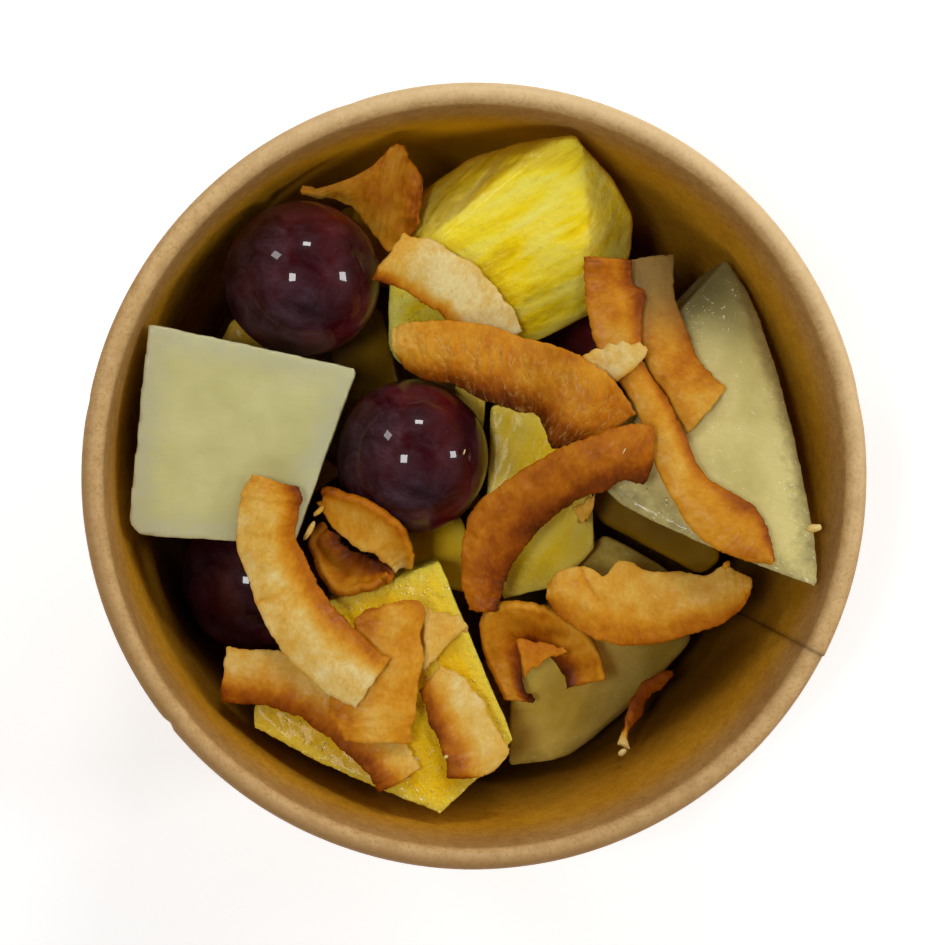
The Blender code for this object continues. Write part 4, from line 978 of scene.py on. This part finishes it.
build_chip("chip_08", [(9.6, -15.1, 55), (11.5, -13.1, 55.5), (15.9, -12.7, 56), (18.1, -14.0, 56.3), (20.2, -11.8, 56.6), (22.4, -12.0, 57), (24.8, -13.3, 57.5), (29.3, -13.5, 58.3), (33.5, -14.1, 59), (36.0, -12.6, 59.4), (38.1, -13.5, 59.8), (40.3, -14.6, 60)], [(9.5, -17.2, 54.5), (10.6, -19.4, 54.6), (12.4, -20.7, 55), (15.3, -22.6, 55.4), (18.3, -24.1, 55.8), (21.2, -24.7, 56.2), (25.1, -24.5, 56.8), (29.1, -23.8, 57.6), (32.8, -22.6, 58.4), (36.0, -21.2, 58.9), (38.7, -19.4, 59.4), (40.2, -17.1, 59.8)], band(0.28, high_s=0.32, start=0.08, end=0.02, reach=0.6), wrinkle=0.22, crack=((15.9, -12.2), (19.5, -19.3)), crackle=0.25, camber=0.8)
# painted shade: chip_07's upper end is painted grey-beige, as if in shadow
build_chip("chip_07", [(21.3, 31.9, 57.5), (21.7, 27.1, 58), (22.3, 22.8, 58.5), (23.6, 18.7, 59), (25.9, 13.8, 59.5), (28.2, 9.7, 60), (30.2, 6.2, 60.3)], [(28.7, 32.8, 57), (28.5, 28.5, 57.5), (29.8, 24.3, 58.2), (31.1, 19.9, 58.8), (33.1, 16.2, 59.4), (35.0, 14.0, 59.8), (36.2, 12.9, 60)], band(0.44, low_s=0.0, high_s=0.16, start=0.10, end=-0.16, reach=0.6), wrinkle=0.15, painted_shade_veil=(srgb(142, 118, 64), 0.12, 0.60, 0.9), camber=0.8)
build_chip("chip_05", [(15.0, 32.2, 60), (15.0, 28.1, 60), (15.6, 23.1, 60.3), (17.3, 18.4, 60.6), (20.0, 13.8, 61), (23.2, 9.4, 62), (25.3, 2.7, 63.5), (28.1, -2.9, 65), (31.5, -8.3, 66), (36.0, -11.0, 66.8), (39.8, -12.2, 67.4), (43.0, -13.0, 67.8)], [(22.4, 31.8, 60), (22.6, 28.5, 60), (24.2, 27.0, 60.2), (23.9, 22.3, 60.3), (24.4, 17.1, 60.8), (27.8, 11.7, 61.5), (30.1, 6.6, 63), (33.4, 0.6, 64.5), (39.2, -3.1, 66.3), (41.6, -4.9, 66.9), (42.9, -8.4, 67.5), (43.6, -11.8, 67.9)], band(0.36, low_s=0.06, high_s=0.34, start=0.22, end=0.10, reach=0.42), wrinkle=0.12, camber=0.7)
build_chip("chip_06", [(14.7, 17.8, 62.8), (17.6, 19.1, 63), (20.4, 20.0, 63.2), (23.5, 19.6, 63.2), (24.7, 19.3, 63)], [(15.9, 15.6, 62.6), (18.2, 13.9, 62.6), (20.3, 14.0, 62.6), (22.6, 15.9, 62.8), (24.4, 17.8, 62.8)], band(0.11, high_s=0.18, start=0.16), wrinkle=0.1, camber=0.4)
build_chip("chip_02", [(-11.2, 35.6, 60.5), (-7.5, 34.6, 61), (-3.5, 32.9, 60.8), (0.1, 30.3, 60), (3.0, 27.1, 58.5), (5.0, 24.2, 57), (6.4, 21.2, 55.5)], [(-15.7, 28.5, 60), (-12.4, 27.8, 60), (-8.6, 25.6, 59.3), (-5.7, 23.6, 58.5), (-3.1, 21.0, 57), (-1.1, 19.3, 55.6), (0.7, 17.8, 54.6)], band(0.02, low_s=0.05, high_s=0.50, start=0.24, reach=0.35), wrinkle=0.08, camber=0.7)
build_chip("chip_03", [(-12.8, 22.0, 58), (-10.6, 22.6, 59), (-5.7, 23.0, 60), (-0.5, 22.5, 60), (4.0, 21.6, 60.5), (9.0, 20.1, 61), (14.2, 18.0, 63), (19.4, 14.5, 64), (23.1, 9.2, 64)], [(-11.8, 17.7, 56.5), (-9.6, 14.8, 57), (-4.4, 13.6, 58), (0.4, 11.4, 58.5), (4.5, 9.7, 58.5), (7.7, 9.2, 59), (9.7, 6.2, 60), (10.6, 4.1, 60.5), (14.0, 3.8, 61)], band(0.48, low_s=0.0, high_s=0.46, start=-0.26, end=0.06, reach=0.5), wrinkle=0.2, pitted=0.2, crackle=1.0, camber=1.4)
build_chip("chip_04", [(25.7, 7.9, 66.8), (22.3, 8.2, 66.5), (17.9, 7.3, 65.8), (13.2, 5.3, 64.5), (8.6, 2.8, 62.8), (3.7, -0.1, 60.8), (0.1, -3.1, 59), (-1.9, -7.0, 57.8), (-2.8, -11.8, 56.8), (-2.5, -15.8, 56.2), (-1.5, -19.3, 56)], [(25.6, 2.2, 66), (24.0, -1.1, 65.6), (20.6, -0.8, 65), (17.1, -2.6, 63.8), (13.7, -3.7, 62.3), (10.5, -6.4, 60.4), (7.7, -9.0, 58.8), (5.6, -11.9, 57.6), (3.9, -14.8, 56.8), (3.0, -17.4, 56.4), (2.9, -19.2, 56.2)], band(0.66, low_s=-0.10, high_s=0.24, end=0.06, reach=0.5), wrinkle=0.15, camber=1.0)
build_chip("chip_17", [(28.5, -28.0, 44.5), (26.6, -28.3, 44.8), (24.1, -29.9, 45.2), (22.3, -31.9, 45.8), (21.6, -34.3, 46.5), (21.1, -36.3, 47.4), (20.1, -39.0, 48.6)], [(28.8, -29.2, 44), (26.9, -31.0, 44.2), (25.2, -32.1, 44.8), (24.4, -34.3, 45.6), (22.7, -36.4, 46.8), (21.9, -38.1, 47.8), (22.5, -39.7, 48.8)], band(0.78, end=-0.70), wrinkle=0.15, camber=0.3, thick=1.1)
build_chip("chip_18", [(13.4, -4.3, 56), (15.3, -3.3, 56), (17.1, -2.3, 56)], [(14.7, -6.7, 55.5), (15.6, -6.5, 55.5), (16.8, -4.3, 55.7)], band(0.26), wrinkle=0.05, camber=0.2, thick=1.1)

# ---------------------------------------------------------------- the hidden heap
def build_heap():
    """Over a smaller core, loose cubes like the visible ones fill the space the heap's solid holds."""
    core = NODES["fruit_core"]
    tree = BVHTree.FromPolygons([v.co / MM for v in core.data.vertices], [list(f.vertices) for f in core.data.polygons])
    mesh = core.data.copy()
    mesh.name = "heap_core"
    for v in mesh.vertices:
        v.co = Vector((v.co.x * 0.9, v.co.y * 0.9, max(6.0 * MM, v.co.z - 5.0 * MM) if v.co.z > 10 * MM else v.co.z))
    float_attribute(mesh, "edge", [6.0] * len(mesh.vertices))
    float_attribute(mesh, "shade", [1.0] * len(mesh.vertices))
    float_attribute(mesh, "glass", [0.0] * len(mesh.vertices))
    add_object("heap_core", mesh, MELON_FRONT, "fruit_heap", "fruit_core")
    dice = random.Random(5)
    looks = ((MELON_FRONT, "melon_flesh"), (PINE_MID, "pineapple_flesh"), (MELON_FRONT, "melon_flesh"), (PINE_MID, "pineapple_flesh"))
    placed = []
    for k in range(400):
        a, r = dice.uniform(0, 2 * math.pi), 42 * math.sqrt(dice.random())
        x, y = r * math.cos(a), r * math.sin(a)
        size = dice.uniform(5.0, 6.5)
        if any((Vector((x, y)) - Vector(q)).length < 13.5 for q in placed):
            continue
        top = tree.ray_cast(Vector((x, y, 90)), Vector((0, 0, -1)))[0]
        if top is None:
            continue
        lowest = min((tree.ray_cast(Vector((x + dx, y + dy, 90)), Vector((0, 0, -1)))[0] or Vector((0, 0, 0))).z for dx in (-6, 0, 6) for dy in (-6, 0, 6))
        z = lowest - size - 0.6
        if z < 12 or math.hypot(x, y) + size * 1.5 > wall_radius(z):
            continue
        placed.append((x, y))
        bm = bmesh.new()
        bmesh.ops.create_cube(bm, size=2 * size)
        bmesh.ops.bevel(bm, geom=bm.edges, offset=1.2, segments=3, profile=0.6, affect="EDGES")
        bmesh.ops.subdivide_edges(bm, edges=bm.edges, cuts=3, use_grid_fill=True)
        turn = Matrix.Rotation(dice.uniform(0, math.pi), 3, "Z") @ Matrix.Rotation(dice.uniform(-0.3, 0.3), 3, "X")
        for v in bm.verts:
            q = turn @ Vector((v.co.x * 0.95, v.co.y * 0.8, v.co.z))
            v.co = (q + Vector((x, y, z)) + q.normalized() * 0.3 * fbm(q, 0.3, 3)) * MM
        piece = bpy.data.meshes.new("heap_piece_%02d" % len(placed))
        bm.to_mesh(piece)
        bm.free()
        float_attribute(piece, "edge", [3.0] * len(piece.vertices))
        float_attribute(piece, "shade", [0.75] * len(piece.vertices))
        float_attribute(piece, "glass", [0.0] * len(piece.vertices))
        look, slot = looks[k % 4]
        add_object("heap_piece_%02d" % len(placed), piece, look, slot)


build_heap()

# ---------------------------------------------------------------- juice and crumbs
def juice_material(name, low, high):
    m = Nodes(name)
    m.colour(m.ramp(m.noise(m.scaled((1, 1, 1)), 0.2, 2, 0.5), (0.3, low), (0.7, high)))
    m.set(Roughness=0.1, **{"Specular_IOR_Level": 0.5, "Coat_Weight": 0.6, "Coat_Roughness": 0.04, "Emission_Strength": 0.0})
    return m.mat


MELON_JUICE = juice_material("melon_juice", srgb(214, 202, 134), srgb(230, 218, 154))
PINE_JUICE = juice_material("pineapple_juice", srgb(244, 214, 60), srgb(250, 226, 96))


def tree_of(objects):
    points, faces = [], []
    for obj in objects:
        start = len(points)
        points += [(obj.matrix_world @ v.co) / MM for v in obj.data.vertices]
        faces += [[start + i for i in face.vertices] for face in obj.data.polygons]
    return BVHTree.FromPolygons(points, faces)


def add_bead(bm, spot, normal, size, stretch, angle):
    made = bmesh.ops.create_icosphere(bm, subdivisions=1, radius=1.0)
    frame_of = normal.to_track_quat("Z", "Y").to_matrix() @ Matrix.Rotation(angle, 3, "Z")
    for v in made["verts"]:
        v.co = (spot + frame_of @ Vector((v.co.x * size * stretch, v.co.y * size, v.co.z * size * 0.28))) * MM


def build_juice(name, look, slot, targets, regions, seed):
    """Beads and runs of juice standing on cut faces: (u0, v0, u1, v1, count, largest radius) boxes in the rim plane."""
    dice = random.Random(seed)
    bpy.context.view_layer.update()
    faces = tree_of(targets)
    blockers = tree_of([NODES[n] for n in NODES if n.startswith("chip_")] + [o for o in scene.objects if o.name.endswith("_skin")])
    bm = bmesh.new()
    for u0, v0, u1, v1, count, largest in regions:
        for _ in range(count):
            u, v = dice.uniform(u0, u1), dice.uniform(v0, v1)
            size = largest * (0.3 + 0.7 * dice.random() ** 2)
            stretch, angle = dice.uniform(1.0, 1.9), dice.uniform(0, math.pi)
            run = (Vector((u, v, HEIGHT)) - APEX).normalized()
            spot, normal, _, far = faces.ray_cast(APEX, run)
            block = blockers.ray_cast(APEX, run)
            if spot is None or (block[0] is not None and block[3] < far + 0.6) or normal.z < 0.15:
                continue
            add_bead(bm, spot, normal, size, stretch, angle)
    mesh = bpy.data.meshes.new(name)
    bm.to_mesh(mesh)
    bm.free()
    add_object(name, mesh, look, slot)


def flesh(*names):
    return [bpy.data.objects[n + "_flesh"] for n in names]


build_juice("melon_juice", MELON_JUICE, "melon_flesh", flesh("melon_right", "melon_left", "melon_front"), [
    (21.5, -10.2, 34.7, 1.2, 90, 0.30),
    (30.9, 8.5, 38.9, 26.0, 12, 0.16),
    (42.8, -15.0, 50.4, 7.0, 18, 0.20),
    (32.4, -13.5, 42.7, 1.1, 12, 0.18),
    (-50.5, -8.7, -18.7, 21.6, 10, 0.12),
    (4.5, -42.6, 26.5, -12.0, 22, 0.18),
], 11)
build_juice("pineapple_juice", PINE_JUICE, "pineapple_flesh", flesh("pineapple_front", "pineapple_back", "pineapple_middle"), [
    (-15.6, -17.6, -4.0, -11.2, 60, 0.30),
    (-2.0, -42.6, 6.0, -23.6, 60, 0.28),
    (-33.1, -42.2, -18.8, -32.9, 60, 0.32),
    (-12.2, -49.8, 1.6, -41.9, 60, 0.32),
    (-5.7, 25.9, 17.6, 47.7, 16, 0.16),
    (-13.5, 21.6, -8.6, 28.1, 26, 0.22),
    (3.0, -17.7, 17.7, -1.7, 40, 0.20),
], 23)


def build_crumbs():
    """Loose flakes and splinters of coconut, each a small ragged slab: (u, v, z, long, wide, angle, toast level)."""
    dice = random.Random(3)
    verts, faces, colours = [], [], []
    for u, v, z, long, wide, angle, level in (
        (49.3, -7.4, 68.4, 2.4, 1.3, 8, 0.05),
        (-24.7, -7.5, 57.5, 3.2, 0.9, 62, 0.12),
        (-23.3, -4.6, 58.0, 2.3, 0.8, 40, 0.2),
        (-4.9, -40.6, 61.6, 0.8, 0.6, 20, 0.02),
        (21.0, -40.2, 50.0, 1.6, 1.0, 30, 0.02),
        (-2.2, 3.9, 62.8, 0.9, 0.25, 70, 0.0),
        (21.2, 4.0, 68.6, 1.0, 0.2, 60, 0.0),
        (36.3, -12.8, 61.0, 1.6, 1.0, 50, 0.4),
    ):
        start, corners = len(verts), 11
        spot = at(u, v, z)
        turn = Matrix.Rotation(math.radians(angle), 3, "Z")
        for layer in (0, 1):
            for k in range(corners):
                a = 2 * math.pi * k / corners
                reach = 0.78 + 0.34 * dice.random()
                q = turn @ Vector((math.cos(a) * long / 2 * reach, math.sin(a) * wide / 2 * reach, (0.16 if layer == 0 else -0.2) + 0.12 * dice.random()))
                verts.append((spot + q) * MM)
                colours.append(toast_colour(min(1.0, max(0.0, level + dice.uniform(-0.05, 0.12)))))
        for k in range(corners):
            j = (k + 1) % corners
            faces.append((start + k, start + corners + k, start + corners + j, start + j))
        top, low = len(verts), len(verts) + 1
        verts += [(spot + Vector((0, 0, 0.35))) * MM, (spot - Vector((0, 0, 0.2))) * MM]
        colours += [toast_colour(level)] * 2
        for k in range(corners):
            j = (k + 1) % corners
            faces.append((start + k, start + j, top))
            faces.append((start + corners + j, start + corners + k, low))
    mesh = bpy.data.meshes.new("coconut_crumbs")
    mesh.from_pydata([tuple(v) for v in verts], [], faces)
    mesh.update()
    colour_attribute(mesh, "toast", colours)
    for name in ("run", "across", "crackle"):
        float_attribute(mesh, name, [0.0] * len(verts))
    add_object("coconut_crumbs", mesh, COCONUT, "coconut_toasted")


build_crumbs()

# ---------------------------------------------------------------- floor and light
def build_stage():
    mesh = bpy.data.meshes.new("floor")
    s = 3.0
    mesh.from_pydata([(-s, -s, -0.0003), (s, -s, -0.0003), (s, s, -0.0003), (-s, s, -0.0003)], [], [(0, 1, 2, 3)])
    floor = bpy.data.objects.new("floor", mesh)
    scene.collection.objects.link(floor)
    m = Nodes("floor_paper")
    grain = m.noise(m.scaled((1, 1, 1)), 0.02, 2, 0.5)
    m.colour(m.ramp(grain, (0.3, srgb(250, 250, 250)), (0.7, srgb(253, 253, 253))))
    m.set(Roughness=0.9, **{"Specular_IOR_Level": 0.1, "Emission_Strength": 0.34, "Emission_Color": (1.0, 1.0, 1.0, 1.0)})
    mesh.materials.append(m.mat)


def softbox(name, direction, distance, width, height, power, colour=(1, 1, 1)):
    data = bpy.data.lights.new(name, "AREA")
    data.shape = "RECTANGLE"
    data.size = width
    data.size_y = height
    data.energy = power
    data.color = colour
    made = bpy.data.objects.new(name, data)
    scene.collection.objects.link(made)
    target = Vector((0, 0, 0.05))
    made.location = target + Vector(direction).normalized() * distance
    made.rotation_euler = (target - made.location).to_track_quat("-Z", "Y").to_euler()
    return made


def build_lights():
    softbox("window_top", (-0.33, 0.02, 1.0), 1.0, 0.20, 0.16, 2.6)
    softbox("window_left", (-0.98, 0.80, 1.0), 1.2, 0.18, 0.22, 1.3)
    softbox("window_back", (0.12, 1.27, 1.0), 1.0, 0.20, 0.11, 1.9)
    softbox("window_right", (2.0, 0.15, 1.0), 1.0, 0.16, 0.16, 1.8)
    # large soft fills that don't mirror in the wet surfaces
    for name, direction, distance, width, height, power in (
        ("fill_back_right", (0.75, 0.8, 0.8), 1.2, 0.9, 0.6, 3.8),
        ("fill_front", (-0.1, -1.0, 0.7), 1.2, 0.9, 0.5, 3.2),
    ):
        softbox(name, direction, distance, width, height, power).visible_glossy = False
    world = bpy.data.worlds.new("studio")
    scene.world = world
    world.use_nodes = True
    tree = world.node_tree
    background = tree.nodes["Background"]
    coords = tree.nodes.new("ShaderNodeTexCoord")
    parts = tree.nodes.new("ShaderNodeSeparateXYZ")
    ramp = tree.nodes.new("ShaderNodeValToRGB")
    tree.links.new(coords.outputs["Generated"], parts.inputs["Vector"])
    tree.links.new(parts.outputs["Z"], ramp.inputs["Fac"])
    tree.links.new(ramp.outputs["Color"], background.inputs["Color"])
    stops = ((0.0, 0.3), (0.25, 0.9), (0.6, 1.0), (0.8, 0.55), (0.92, 0.15), (1.0, 0.1))
    while len(ramp.color_ramp.elements) < len(stops):
        ramp.color_ramp.elements.new(0.5)
    for element, (place, level) in zip(ramp.color_ramp.elements, stops):
        element.position = place
        element.color = (level, level * 0.985, level * 0.95, 1.0)
    background.inputs["Strength"].default_value = 0.2


build_stage()
build_lights()
